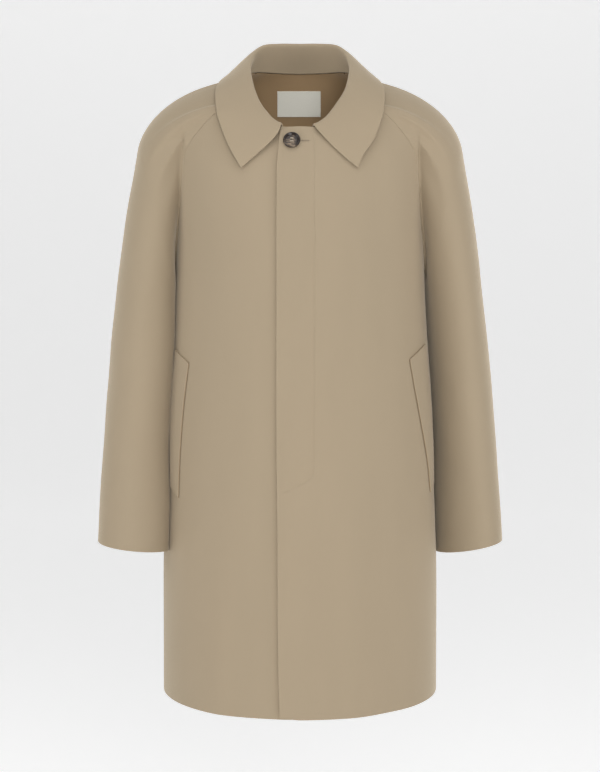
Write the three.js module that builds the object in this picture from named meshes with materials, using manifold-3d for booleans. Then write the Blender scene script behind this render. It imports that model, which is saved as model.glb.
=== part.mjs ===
// A car coat, buttoned and filled out as if worn, with nobody in it. Units are millimetres.
// +X is the viewer's right (the wearer's left), the front faces -Y, +Z is up.
// The origin is the middle of the neck opening at the height where the shoulders meet the neck.
import * as THREE from "three";
import { mergeVertices } from "three/addons/utils/BufferGeometryUtils.js";
import Module from "manifold-3d";

const wasm = await Module();
wasm.setup();

const RAD = Math.PI / 180;
const WALL = 1.6; // body and sleeve cloth with its inside layer
const COLLAR_WALL = 2.4; // two layers of cloth with stiffening between
const WELT_WALL = 2;
const LABEL_WALL = 1;
const SEAM_GAP = 0.3;
const UNDER_EDGE = 34; // how far the under front reaches past the middle
const PLACKET_SHIFT = 1.3; // the top front stands out, and the under front in, by this in the overlap

const CLOTH = { color: 0xb0a086, roughness: 0.85, metalness: 0 };
const COLLAR_CLOTH = { color: 0xaa997f, roughness: 0.85, metalness: 0 };
const HORN = { color: 0x4a3324, roughness: 0.3, metalness: 0 };
const LABEL_CLOTH = { color: 0xbcbbaf, roughness: 0.7, metalness: 0 };

// Tables. The first column is what a table is read by, and read() follows a smooth curve through the rows.

// Neckline: psi in degrees from the middle front, z its height. Its plan is an ellipse.
const NECK_HALF_X = 84;
const NECK_HALF_Y = 92;
const NECK_MID_Y = -2;
const NECK = [
  // psi, z
  [-30, -56.8],
  [-17, -61.7],
  [0, -61.5],
  [17, -61.7],
  [30, -56.8],
  [48, -41],
  [60, -27],
  [75, -9],
  [90, 4.5],
  [110, 14.5],
  [130, 18],
  [155, 17],
  [180, 16],
];
const RAGLAN_FRONT_PSI = 60;
const RAGLAN_BACK_PSI = 130;
const OVERARM_PSI = 93;

// Raglan seam, from the front of the neck (w 0) under the arm (w 1) to the back of the neck (w 2).
const RAGLAN = [
  // w, x, y, z
  [0.0, 72.7, -48, -27],
  [0.09, 96.5, -58, -31.5],
  [0.17, 118.5, -65, -41.5],
  [0.29, 144.5, -68, -68],
  [0.4, 162, -65, -96],
  [0.53, 167.5, -59, -134],
  [0.66, 171, -49, -172],
  [0.8, 175.8, -34, -214],
  [0.9, 179.3, -21, -246],
  [0.96, 180.7, -10, -264],
  [1.0, 181, 0, -270],
  [1.04, 180.7, 10, -264],
  [1.1, 179.4, 23, -244],
  [1.2, 175.6, 48, -206],
  [1.35, 168, 76, -160],
  [1.52, 159, 94, -110],
  [1.66, 142, 100, -65],
  [1.78, 118, 93, -30],
  [1.89, 92, 78, -2],
  [2.0, 64.3, 57.1, 18],
];

// Middle of the front above the underarm, and how far round the row turns by the seam.
const CHEST = [
  // w, y, z, turn in degrees, roundness
  [0.0, -94, -61.5, 60, 2.0],
  [0.17, -106.5, -84, 63, 2.0],
  [0.29, -115, -104, 66, 2.02],
  [0.4, -123, -127, 69, 2.05],
  [0.53, -132, -157, 72, 2.08],
  [0.66, -140.7, -190, 76, 2.1],
  [0.8, -146.4, -224, 78.5, 2.13],
  [0.9, -149.1, -249, 83, 2.15],
  [0.96, -150.0, -262, 86.9, 2.15],
  [1.0, -150.5, -270, 90, 2.15],
  [1.1, -151.6, -292, 90, 2.15],
];
const UPPER_BACK = [
  // w, y, z, turn in degrees, roundness
  [0.9, 140.9, -292, 90, 2.15],
  [1.0, 140, -270, 90, 2.15],
  [1.04, 139.65, -262, 86.6, 2.15],
  [1.1, 139, -248, 82, 2.15],
  [1.2, 137.2, -215, 77, 2.13],
  [1.35, 132, -165, 75, 2.1],
  [1.52, 122, -108, 69, 2.06],
  [1.66, 111.5, -64, 63, 2.03],
  [1.78, 103, -32, 58, 2.0],
  [1.89, 96.5, -8, 54, 2.0],
  [2.0, 90, 16, 50, 2.0],
];

// Body below the underarm.
const BODY = [
  // drop below the origin, half width, front y, back y, roundness
  [248, 180.2, -149.4, 139.1, 2.15],
  [270, 181, -150.5, 140, 2.15],
  [330, 184, -153.5, 142.5, 2.15],
  [390, 188, -156, 145, 2.15],
  [440, 192, -157.3, 146.5, 2.15],
  [490, 195.2, -158.5, 148, 2.15],
  [545, 197, -159.8, 149.5, 2.15],
  [590, 197.8, -160.8, 150.7, 2.14],
  [640, 200.2, -161.8, 151.8, 2.13],
  [700, 202.4, -163, 153, 2.12],
  [800, 203.2, -164.5, 155, 2.1],
  [896, 203.8, -165, 156.5, 2.1],
];
const UNDERARM_Z = -270;
const HEM_Z = -896;

// How far the top front's edge reaches past the middle.
const FRONT_EDGE = [
  // drop below the origin, reach
  [60, 26],
  [77, 28.8],
  [106, 31.6],
  [121, 32.6],
  [302, 32.8],
  [500, 33.1],
  [614, 31.9],
  [817, 31],
  [899, 28.8],
];

// The hem hangs a little lower in front than at the sides.
const HEM_DROP = { front: -2.5, side: 3.5, back: 2 };

// Sleeve rings from the armhole to the cuff: points over the arm, under it, in front and behind. Both tables are
// for +X and the right sleeve is mirrored. Its cuff hangs forward, and the left one's further back.
const RING_RIGHT = [
  // step, over x y z, under x y z, front x y z, back x y z
  [1.0, 236, 2, -97, 176.8, -6, -298, 204, -74, -195, 204, 90, -195],
  [2.0, 255, 2, -213, 172.8, -12, -345, 221, -83, -280, 224, 86, -280],
  [3.0, 270, 0, -335, 174.6, -18, -410, 231, -86, -372, 233, 80, -372],
  [4.0, 280, -4, -440, 180.9, -18, -478, 238, -89, -460, 240, 70, -460],
  [5.0, 286, -12, -530, 182.1, -20, -546, 243, -93, -536, 244, 52, -536],
  [6.0, 290.5, -24, -598, 180.3, -28, -612, 245, -99, -604, 246, 28, -602],
  [7.0, 294.2, -36, -661.5, 183.5, -30, -676.5, 246.5, -104, -666.3, 246, 8, -662],
];
const RING_LEFT = [
  // step, over x y z, under x y z, front x y z, back x y z
  [1.0, 236, 2, -97, 184.8, 26, -298, 204, -74, -195, 204, 90, -195],
  [2.0, 255, 2, -213, 185, 32, -345, 221, -81, -280, 224, 86, -280],
  [3.0, 270, 0, -335, 189.2, 38, -410, 231, -80, -372, 233, 80, -372],
  [4.0, 280.4, -0.7, -440.5, 193.8, 38, -478, 238.9, -78.7, -460.5, 240.9, 78, -460.5],
  [5.0, 287.3, -1.5, -531.8, 195.8, 36, -550, 245.8, -76.5, -539.8, 246.8, 68, -539.8],
  [6.0, 292.6, -6.3, -601, 197.4, 34, -618, 249.6, -76.3, -609, 250.6, 52, -607],
  [7.0, 296.5, -15, -663.5, 199, 42, -693, 252, -80, -670, 251.5, 36, -672],
];
const RESTING = 0.9; // how near a sleeve lies to the body's side
// How the sleeve leaves the seam, by degrees round the arm from under it (0) to over it (180).
const LEAVE_FRONT = [
  // degrees, x, y, z, length share of the chord
  [0, 0.3, 0.05, -1, 0.9],
  [15, 0.72, 0.16, -0.7, 0.9],
  [30, 0.55, 0.65, -0.45, 0.7],
  [60, 0.28, 0.93, -0.15, 0.6],
  [84, 0.4, 0.85, -0.15, 0.5],
  [104, 0.97, 0.15, -0.15, 1.0],
  [120, 0.98, 0.0, -0.12, 1.2],
  [150, 0.98, -0.05, -0.12, 1.32],
  [180, 0.99, 0.0, -0.08, 1.42],
];
const LEAVE_BACK = [
  // degrees, x, y, z, length share of the chord
  [0, 0.3, 0.05, -1, 0.9],
  [15, 0.75, -0.05, -0.7, 0.9],
  [30, 0.9, -0.12, -0.55, 0.9],
  [60, 0.97, -0.1, -0.25, 0.9],
  [90, 0.98, 0.0, -0.2, 1.0],
  [120, 0.97, 0.06, -0.36, 1.1],
  [150, 0.95, 0.05, -0.42, 1.1],
  [165, 0.97, 0.03, -0.3, 1.22],
  [180, 0.99, 0.0, -0.08, 1.42],
];
const NECK_DEGREES = 150; // degrees round the arm at which the raglan seam reaches the neck

// Collar: psi round the neck, the roll line, and the leaf's edge. x is for one side, and the sign is set per side.
const COLLAR = [
  // psi, roll x y z, edge x y z, round share, bulge
  [17, 26, -94.5, -58.8, 84, -115.5, -119.5, 4, 2],
  [24, 33.5, -91, -55.5, 92.5, -109, -102, 4.5, 3],
  [33, 43.5, -84.5, -47.5, 102, -99, -84.5, 5, 4],
  [48, 57.5, -69, -30, 112, -84, -60, 6, 5],
  [60, 65.5, -51, -13, 118, -70, -40.5, 8, 5],
  [75, 71.5, -27, 7.5, 120.5, -38, -13, 10, 4],
  [90, 73.7, -4, 21.5, 115.5, -6, 1.5, 11, 3],
  [110, 71, 27, 37, 106, 38, 8, 12, 3.5],
  [130, 63.5, 51, 48.5, 92, 83, -2, 14, 5],
  [145, 51.5, 66, 56.5, 68, 95.5, -9, 11, 4],
  [160, 29, 76.5, 58.5, 39, 100.5, -11, 7, 3],
  [180, 0, 80.5, 58.5, 0, 103, -11, 7, 3],
];
const COLLAR_LEFT_PSI = 17.5; // where the collar ends by the top front's edge, on -X
const COLLAR_RIGHT_PSI = 13; // where it ends on +X
// The front edge of each leaf bends on its way down to the point. These shift what the curve there is drawn by.
const LEAF_BENDS = {
  "-1": { roll: [0, 0, 0.3], near: [-0.4, -9.5, -16.5], far: [-9.9, 0, 3], point: [-2, 0, 0] },
  1: { roll: [-1, 0, -1.2], near: [8.8, -8, -13], far: [-2.2, -2, -4.6], point: [2.6, 0, 0.5] },
};
const FOOT_DROP = 0.6; // how much lower the stand's foot is seated at the front
const ROLL_IN = 4.3; // how much further in the roll lies beside the neck on +X

// Pocket welts on the fronts: the two long edges. The one on +X hangs at more of a slant.
const WELT_RIGHT = [
  // share down, inner x, inner z, outer x, outer z
  [0.0, 157.5, -396, 178.5, -381],
  [0.25, 164, -445, 183.5, -430],
  [0.5, 168.8, -494, 187, -480],
  [0.75, 172.2, -543, 187.3, -531],
  [1.0, 174, -593, 187, -581],
];
const WELT_LEFT = [
  // share down, inner x, inner z, outer x, outer z
  [0.0, 155, -390.5, 179, -373.5],
  [0.25, 164.5, -441, 185, -424],
  [0.5, 174.2, -491, 190, -476],
  [0.75, 183, -541, 193, -528],
  [1.0, 188.6, -590, 194.3, -580],
];

const BUTTON = { x: -11.4, z: -81, radius: 12.2, thick: 4, rim: 1, hole: 1, holeAt: 2.3 };
const LABEL = { x0: -34, x1: 31, top: -8, bottom: -46 };

const clamp = (value, low, high) => Math.min(high, Math.max(low, value));
const ease = (from, to, value) => {
  const t = clamp((value - from) / (to - from), 0, 1);
  return t * t * (3 - 2 * t);
};
const power = (value, exponent) => Math.sign(value) * Math.abs(value) ** exponent;

// The other columns of a table at t, on a smooth curve through its rows.
function read(table, t) {
  const last = table.length - 1;
  let i = 0;
  while (i < last - 1 && t > table[i + 1][0]) i++;
  const slope = (k, column) => {
    const a = table[Math.max(0, k - 1)];
    const b = table[Math.min(last, k + 1)];
    return (b[column] - a[column]) / (b[0] - a[0]);
  };
  const [low, high] = [table[i], table[i + 1]];
  const span = high[0] - low[0];
  const s = clamp((t - low[0]) / span, 0, 1);
  const [s2, s3] = [s * s, s * s * s];
  return low.slice(1).map((start, k) => {
    const column = k + 1;
    return (
      start * (2 * s3 - 3 * s2 + 1) +
      high[column] * (3 * s2 - 2 * s3) +
      span * (slope(i, column) * (s3 - 2 * s2 + s) + slope(i + 1, column) * (s3 - s2))
    );
  });
}

const vector = (x, y, z) => new THREE.Vector3(x, y, z);
const mirrored = (p, side) => vector(p.x * side, p.y, p.z);

function neckPoint(psi, side) {
  const [z] = read(NECK, psi);
  return vector(
    side * NECK_HALF_X * Math.sin(psi * RAD),
    NECK_MID_Y - NECK_HALF_Y * Math.cos(psi * RAD),
    z,
  );
}

// How far a row has climbed from its middle to its side: as the neckline does at the top, and evenly lower down.
function climbed(row, share, turn, back) {
  const even = (1 - Math.cos(share * turn)) / (1 - Math.cos(turn));
  const [from, to] = back ? [180, RAGLAN_BACK_PSI] : [0, RAGLAN_FRONT_PSI];
  const [start, here, end] = [from, from + (to - from) * share, to].map((psi) => read(NECK, psi)[0]);
  const neck = clamp(1 - row, 0, 1) ** 2;
  return even + ((here - start) / (end - start) - even) * neck;
}

// A point of a body row between its middle and side points, angle out of turn, both in radians.
function rowPoint(middle, side, angle, turn, roundness, up) {
  const e = 2 / roundness;
  const across = power(Math.sin(angle), e) / power(Math.sin(turn), e);
  const deep =
    (1 - power(Math.cos(angle), e)) / (1 - power(Math.max(Math.cos(turn), 0), e));
  return vector(
    side.x * across,
    middle.y + (side.y - middle.y) * deep,
    middle.z + (side.z - middle.z) * up,
  );
}

// The body's plain surface. row is 0 at the neck, 1 at the underarm and 2 at the hem; share is 0 in the middle
// and 1 at the side, and below 0 past the middle. back picks the back panel.
function bodyPoint(row, share, back) {
  let middle;
  let side;
  let turn;
  let roundness;
  if (row <= 1) {
    const w = back ? 2 - row : row;
    const [y, z, degrees, round] = read(back ? UPPER_BACK : CHEST, w);
    const [sx, sy, sz] = read(RAGLAN, w);
    middle = vector(0, y, z);
    side = vector(sx, sy, sz);
    turn = degrees * RAD;
    roundness = round;
  } else {
    const z = UNDERARM_Z + (HEM_Z - UNDERARM_Z) * (row - 1);
    const [half, front, rear, round] = read(BODY, -z);
    middle = vector(0, back ? rear : front, z + (back ? HEM_DROP.back : HEM_DROP.front) * (row - 1));
    side = vector(half, 0, z + HEM_DROP.side * (row - 1));
    turn = 90 * RAD;
    roundness = round;
  }
  return rowPoint(middle, side, share * turn, turn, roundness, climbed(row, share, turn, back));
}

// Soft folds that the cloth's own weight makes: a push outwards in mm, by x and z on the front or back.
const FOLDS = [
  // back?, x, width, top z, bottom z, push
  [0, -118, 26, -420, -1000, 2.2],
  [0, -62, 22, -520, -1000, -1.6],
  [0, 78, 24, -470, -1000, 2.0],
  [0, 128, 22, -520, -1000, -1.6],
  [1, -105, 28, -380, -1000, 2.4],
  [1, -45, 26, -450, -1000, -2.0],
  [1, 20, 28, -420, -1000, 2.2],
  [1, 95, 28, -380, -1000, -2.2],
];
function foldPush(x, z, back) {
  let push = 0;
  for (const [behind, middle, width, top, bottom, height] of FOLDS) {
    if (Boolean(behind) !== back) continue;
    push += height * Math.exp(-(((x - middle) / width) ** 2)) * ease(top, bottom + 100, z);
  }
  return push;
}

// The panel surface with its folds, on the side of the sign given (share below 0 crosses the middle).
function bodySurface(row, share, sign, back, shift) {
  const plain = mirrored(bodyPoint(row, share, back), sign);
  const step = 1e-3;
  const along = mirrored(bodyPoint(row, share + step, back), sign)
    .sub(mirrored(bodyPoint(row, share - step, back), sign));
  const down = row + step <= 2
    ? mirrored(bodyPoint(row + step, share, back), sign).sub(mirrored(bodyPoint(row - (row > step ? step : 0), share, back), sign))
    : plain.clone().sub(mirrored(bodyPoint(row - step, share, back), sign));
  const normal = along.cross(down).normalize();
  if (normal.y * (back ? -1 : 1) > 0 && Math.abs(normal.y) > 0.05) normal.negate();
  else if (Math.abs(normal.y) <= 0.05 && normal.x * sign < 0) normal.negate();
  return plain.addScaledVector(normal, foldPush(plain.x, plain.z, back) + (shift ? shift(plain.x) : 0));
}

const topShift = (x) => PLACKET_SHIFT * ease(70, 28, x);
const underShift = (x) => -PLACKET_SHIFT * ease(-70, -34, x);

// The sleeve's seam point and ring points, degrees round the arm, back picks the back half.
function openingPoint(degrees, back) {
  if (degrees <= NECK_DEGREES) {
    const w = 1 - degrees / NECK_DEGREES;
    return vector(...read(RAGLAN, back ? 2 - w : w));
  }
  const share = (degrees - NECK_DEGREES) / (180 - NECK_DEGREES);
  const from = back ? RAGLAN_BACK_PSI : RAGLAN_FRONT_PSI;
  return neckPoint(from + (OVERARM_PSI - from) * share, 1);
}

// How far out the body's side stands below the underarm, at a depth y and height z.
function bodySide(y, z) {
  const [half, front, rear, round] = read(BODY, clamp(-z, 248, -HEM_Z));
  const depth = y < 0 ? -front : rear;
  return half * Math.max(0, 1 - Math.abs(y / depth) ** round) ** (1 / round);
}

function ringPoint(step, degrees, back, rings) {
  const row = read(rings, step);
  const [over, under, front, rear] = [0, 3, 6, 9].map((k) => vector(row[k], row[k + 1], row[k + 2]));
  const middle = over.clone().add(under).multiplyScalar(0.5);
  const axis = over.clone().sub(under).multiplyScalar(0.5);
  const out = (back ? rear : front).sub(middle);
  const angle = degrees * RAD;
  const flatter = 0.94 - (back ? 0 : 0.1) * ease(1, 3, step);
  const p = middle
    .addScaledVector(axis, -Math.cos(angle))
    .addScaledVector(out, power(Math.sin(angle), flatter));
  // Where the sleeve would cut into the body's side, it lies against it.
  const reach = p.x - bodySide(p.y, p.z) - RESTING;
  const laid = (Math.hypot(reach, 2.2) - reach) / 2;
  p.x += laid * ease(-240, -268, p.z);
  return p;
}

function hermite(p0, t0, p1, t1, s) {
  const [s2, s3] = [s * s, s * s * s];
  return p0
    .clone()
    .multiplyScalar(2 * s3 - 3 * s2 + 1)
    .addScaledVector(t0, s3 - 2 * s2 + s)
    .addScaledVector(p1, 3 * s2 - 2 * s3)
    .addScaledVector(t1, s3 - s2);
}

// The direction in which the sleeve leaves the seam, laid in the body's surface where the yoke is flat.
function leaving(degrees, back) {
  const [x, y, z, length] = read(back ? LEAVE_BACK : LEAVE_FRONT, degrees);
  const way = vector(x, y, z).normalize();
  const flat = (back ? ease(70, 110, degrees) : ease(90, 120, degrees)) * (1 - ease(back ? 125 : NECK_DEGREES, back ? 150 : 180, degrees));
  if (flat > 0) {
    const row = 1 - Math.min(degrees, NECK_DEGREES) / NECK_DEGREES;
    const normal = plainNormal(row, 1, back);
    way.addScaledVector(normal, -way.dot(normal) * flat).normalize();
  }
  return { way, length };
}

function plainNormal(row, share, back) {
  const step = 1e-3;
  const along = bodyPoint(row, share, back).sub(bodyPoint(row, share - step, back));
  const low = Math.max(row - step, 0);
  const down = bodyPoint(low + step, share, back).sub(bodyPoint(low, share, back));
  const normal = along.cross(down).normalize();
  return normal.y * (back ? 1 : -1) < 0 ? normal.negate() : normal;
}

// The sleeve on +X before it is mirrored. step is 0 at the seam, 1 at the armhole ring and 7 at the cuff.
function sleevePoint(step, degrees, back, rings) {
  const ring = (k) => ringPoint(k, degrees, back, rings);
  if (step >= 1) return ring(step);
  const [start, first, second] = [openingPoint(degrees, back), ring(1), ring(1.02)];
  const chord = first.clone().sub(start);
  const length = chord.length();
  const { way, length: share } = leaving(degrees, back);
  const onward = second.sub(first).normalize().multiplyScalar(length * 0.8);
  return hermite(start, way.multiplyScalar(length * share), first, onward, step);
}

// Unit normal of surface(u, v), on the side that outward() says.
function normalOf(surface, u, v, [u0, u1], [v0, v1]) {
  const [du, dv] = [(u1 - u0) * 1e-4, (v1 - v0) * 1e-4];
  const a = surface(Math.min(u + du, u1), v).sub(surface(Math.max(u - du, u0), v));
  const b = surface(u, Math.min(v + dv, v1)).sub(surface(u, Math.max(v - dv, v0)));
  return a.cross(b).normalize();
}

const spread = (from, to, count) => Array.from({ length: count + 1 }, (_, i) => from + ((to - from) * i) / count);

function meshOf(name, points, triangles, look) {
  const geometry = new THREE.BufferGeometry();
  geometry.setAttribute("position", new THREE.Float32BufferAttribute(points.flatMap((p) => [p.x, p.y, p.z]), 3));
  geometry.setIndex(triangles.flat());
  let volume = 0;
  for (const [a, b, c] of triangles) volume += points[a].dot(points[b].clone().cross(points[c]));
  if (volume < 0) geometry.setIndex(triangles.flatMap(([a, b, c]) => [a, c, b]));
  geometry.computeVertexNormals();
  const mesh = new THREE.Mesh(geometry, new THREE.MeshStandardMaterial(look));
  mesh.name = name;
  return mesh;
}

// A wall between two grids of points with the same rows and columns, closed round its rim.
function wallBetween(name, outer, inner, look) {
  const rows = outer.length;
  const columns = outer[0].length;
  const points = [...outer.flat(), ...inner.flat()];
  const at = (layer, i, j) => layer * rows * columns + i * columns + j;
  const triangles = [];
  const quad = (a, b, c, d) => triangles.push([a, b, c], [a, c, d]);
  for (let i = 0; i + 1 < rows; i++)
    for (let j = 0; j + 1 < columns; j++) {
      const [a, b, c, d] = [[i, j], [i, j + 1], [i + 1, j + 1], [i + 1, j]];
      const length = ([k, l], [m, n]) => outer[k][l].distanceTo(outer[m][n]);
      // Each quad is cut along its shorter diagonal, the same way on both faces.
      const corners = length(a, c) <= length(b, d) ? [a, b, c, d] : [b, c, d, a];
      quad(...corners.map(([k, l]) => at(0, k, l)));
      quad(...corners.map(([k, l]) => at(1, k, l)).reverse());
    }
  const rim = [];
  for (let j = 0; j < columns - 1; j++) rim.push([0, j]);
  for (let i = 0; i < rows - 1; i++) rim.push([i, columns - 1]);
  for (let j = columns - 1; j > 0; j--) rim.push([rows - 1, j]);
  for (let i = rows - 1; i > 0; i--) rim.push([i, 0]);
  rim.forEach(([i, j], k) => {
    const [m, n] = rim[(k + 1) % rim.length];
    quad(at(0, i, j), at(1, i, j), at(1, m, n), at(0, m, n));
  });
  return meshOf(name, points, triangles, look);
}

// Pulls the rim of a grid in by a share of the seam gap on the sides asked for.
function pulledIn(grid, sides) {
  const rows = grid.length;
  const columns = grid[0].length;
  const copy = grid.map((row) => row.map((p) => p.clone()));
  const pull = (share, i, j, m, n) => {
    const way = grid[m][n].clone().sub(grid[i][j]).normalize();
    copy[i][j].addScaledVector(way, SEAM_GAP * (share || 0));
  };
  for (let i = 0; i < rows; i++) {
    pull(sides.start, i, 0, i, 1);
    pull(sides.end, i, columns - 1, i, columns - 2);
  }
  for (let j = 0; j < columns; j++) pull(sides.top, 0, j, 1, j);
  return copy;
}

// A cloth piece: rows and columns of surface(row, column), its wall inwards, sharedNormal for rims on a seam.
function clothPiece(name, surface, rows, columns, sides, look, sharedNormal, sign) {
  const range = (list) => [Math.min(...list), Math.max(...list)];
  const [rowRange, columnRange] = [range(rows), range(columns)];
  const grid = rows.map((u) => columns.map((v) => surface(u, v)));
  const normals = rows.map((u, i) =>
    columns.map((v, j) => {
      const own = normalOf(surface, u, v, rowRange, columnRange).multiplyScalar(sign);
      return (sharedNormal && sharedNormal(i, j, own)) || own;
    }),
  );
  const outer = pulledIn(grid, sides);
  const inner = outer.map((row, i) => row.map((p, j) => p.clone().addScaledVector(normals[i][j], -WALL)));
  return wallBetween(name, outer, inner, look);
}

// Rows that both sides of a seam share.
const SEAM_ROWS = [0, 0.07, 0.15, 0.23, 0.31, 0.4, 0.49, 0.58, 0.67, 0.75, 0.82, 0.88, 0.93, 0.97, 1];
const HEM_ROWS = [-310, -355, -400, -445, -490, -535, -575, -615, -660, -730, -810, HEM_Z]
  .map((z) => 1 + (UNDERARM_Z - z) / (UNDERARM_Z - HEM_Z));
const BODY_ROWS = [...SEAM_ROWS, ...HEM_ROWS];
const NECK_STEPS = 4;
const ARM_COLUMNS = [
  ...SEAM_ROWS.map((w) => (1 - w) * NECK_DEGREES).reverse(),
  ...spread(NECK_DEGREES, 180, NECK_STEPS).slice(1),
];
const SLEEVE_ROWS = [0, 0.1, 0.22, 0.36, 0.52, 0.7, 0.86, ...spread(1, 7, 12)];

const fullRange = { rows: [0, 2], shares: [0, 1] };
// The body's outward normal at a side edge, on the +X side.
function bodySideNormal(row, back) {
  return normalOf((u, v) => bodySurface(u, v, 1, back), row, 1, fullRange.rows, fullRange.shares)
    .multiplyScalar(back ? -1 : 1);
}
function sleeveEdgeNormal(step, degrees, back, rings) {
  return normalOf((u, v) => sleevePoint(u, v, back, rings), step, degrees, [0, 7], [0, 180])
    .multiplyScalar(back ? -1 : 1);
}
// The normal that a raglan seam's two pieces share, so that their walls end on one face.
function seamNormal(row, back, rings) {
  const degrees = (1 - row) * NECK_DEGREES;
  const a = bodySideNormal(row, back);
  const b = sleeveEdgeNormal(0, degrees, back, rings);
  // Under the arm the two cloths face each other, and both walls end upwards.
  const under = vector(0, 0, -1).multiplyScalar(0.8 * (1 - ease(0, 35, degrees)));
  return a.add(b).add(under).normalize();
}
const averaged = (a, b) => a.clone().add(b).normalize();

const ringsOf = (sign) => (sign > 0 ? RING_LEFT : RING_RIGHT);

const root = new THREE.Group();
root.name = "car_coat";

// Fronts. A column is a share from past the middle to the side; the front edge is a line of constant x.
function frontPanel(name, sign, edge, shift, hemDrop) {
  const columns = spread(0, 1, 14);
  const startShare = (row) => {
    // The share at which the row ends past the middle.
    let [low, high] = [-0.6, 0];
    for (let k = 0; k < 40; k++) {
      const middle = (low + high) / 2;
      const p = bodyPoint(row, middle, false);
      if (p.x < -edge(p.z)) low = middle;
      else high = middle;
    }
    return (low + high) / 2;
  };
  const starts = new Map();
  const startOf = (row) => {
    const key = row.toFixed(6);
    if (!starts.has(key)) starts.set(key, startShare(row));
    return starts.get(key);
  };
  const surface = (row, column) => {
    const start = startOf(row);
    const p = bodySurface(row, start + (1 - start) * column, sign, false, shift);
    p.z += hemDrop(p.x) * ease(1.9, 2, row);
    return p;
  };
  const shared = (i, j, own) => {
    if (j !== columns.length - 1) return null;
    const row = BODY_ROWS[i];
    if (row <= 1) return mirrored(seamNormal(row, false, ringsOf(sign)), sign);
    return averaged(own, mirrored(bodySideNormal(row, true), sign));
  };
  return clothPiece(name, surface, BODY_ROWS, columns, { end: 0.5 }, CLOTH, shared, sign);
}
const frontEdge = (z) => read(FRONT_EDGE, -z)[0];
const topFront = frontPanel("front_left", 1, frontEdge, topShift, (x) => 3 * ease(0, -30, x));
const underFront = frontPanel("front_right", -1, () => UNDER_EDGE, underShift, () => 0);
root.add(topFront, underFront);

// Back, from the -X side to the +X side.
function backPanel() {
  const columns = spread(-1, 1, 24);
  const surface = (row, share) =>
    bodySurface(row, Math.abs(share), share < 0 ? -1 : 1, true);
  const shared = (i, j, own) => {
    if (j !== 0 && j !== columns.length - 1) return null;
    const sign = j === 0 ? -1 : 1;
    const row = BODY_ROWS[i];
    if (row <= 1) return mirrored(seamNormal(row, true, ringsOf(sign)), sign);
    return averaged(own, mirrored(bodySideNormal(row, false), sign));
  };
  return clothPiece("back", surface, BODY_ROWS, columns, { start: 0.5, end: 0.5 }, CLOTH, shared, -1);
}
root.add(backPanel());

// Sleeves, each a front half and a back half that meet over and under the arm.
function sleeveHalf(name, sign, back) {
  const rings = ringsOf(sign);
  const surface = (step, degrees) => mirrored(sleevePoint(step, degrees, back, rings), sign);
  const last = ARM_COLUMNS.length - 1;
  const shared = (i, j, own) => {
    const [step, degrees] = [SLEEVE_ROWS[i], ARM_COLUMNS[j]];
    if (i === 0 && degrees <= NECK_DEGREES)
      return mirrored(seamNormal(1 - degrees / NECK_DEGREES, back, rings), sign);
    if (j === 0 || j === last)
      return averaged(own, mirrored(sleeveEdgeNormal(step, degrees, !back, rings), sign));
    return null;
  };
  const facing = (back ? -1 : 1) * sign;
  return clothPiece(name, surface, SLEEVE_ROWS, ARM_COLUMNS, { start: 0.5, end: 0.5, top: 1.5 }, CLOTH, shared, facing);
}
root.add(
  sleeveHalf("sleeve_right_front", -1, false),
  sleeveHalf("sleeve_right_back", -1, true),
  sleeveHalf("sleeve_left_front", 1, false),
  sleeveHalf("sleeve_left_back", 1, true),
);

// Collar: the stand rises from the neckline, rolls over and falls as the leaf.
function collarPath(psi, sign, t) {
  const [rx, ry, rz, ex, ey, ez, round, bulge] = read(COLLAR, psi);
  const bends = LEAF_BENDS[sign];
  const nearFront = 1 - ease(17, 42, psi);
  const bend = (place, [x, y, z], share) =>
    place.add(vector(sign * x, y, z).multiplyScalar(share));
  const drawnIn = sign > 0 ? ROLL_IN * ease(20, 42, psi) * (1 - ease(46, 66, psi)) : 0;
  const out = vector(sign * Math.sin(psi * RAD), -Math.cos(psi * RAD), 0);
  const foot = neckPoint(psi, sign).addScaledVector(out, -COLLAR_WALL);
  foot.z += 0.1 - FOOT_DROP * nearFront;
  const roll = bend(vector(sign * (rx - drawnIn), ry, rz), bends.roll, nearFront);
  const edge = bend(vector(sign * ex, ey, ez), bends.point, 1 - ease(17, 26, psi));
  const height = roll.z - foot.z;
  const bezier = (a, b, c, d, s) => {
    const r = 1 - s;
    return a
      .clone()
      .multiplyScalar(r * r * r)
      .addScaledVector(b, 3 * r * r * s)
      .addScaledVector(c, 3 * r * s * s)
      .addScaledVector(d, s * s * s);
  };
  if (t <= 1) {
    const low = foot.clone();
    low.z += height * 0.45;
    const near = roll.clone().addScaledVector(out, -Math.min(round * 0.5, 3));
    return bezier(foot, low, near, roll, t);
  }
  const fall = edge.clone().sub(roll);
  const near = bend(roll.clone().addScaledVector(out, round), bends.near, nearFront);
  const far = roll.clone().addScaledVector(fall, 0.6).addScaledVector(out, bulge);
  bend(far, bends.far, nearFront);
  return bezier(roll, near, far, edge, t - 1);
}

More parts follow.
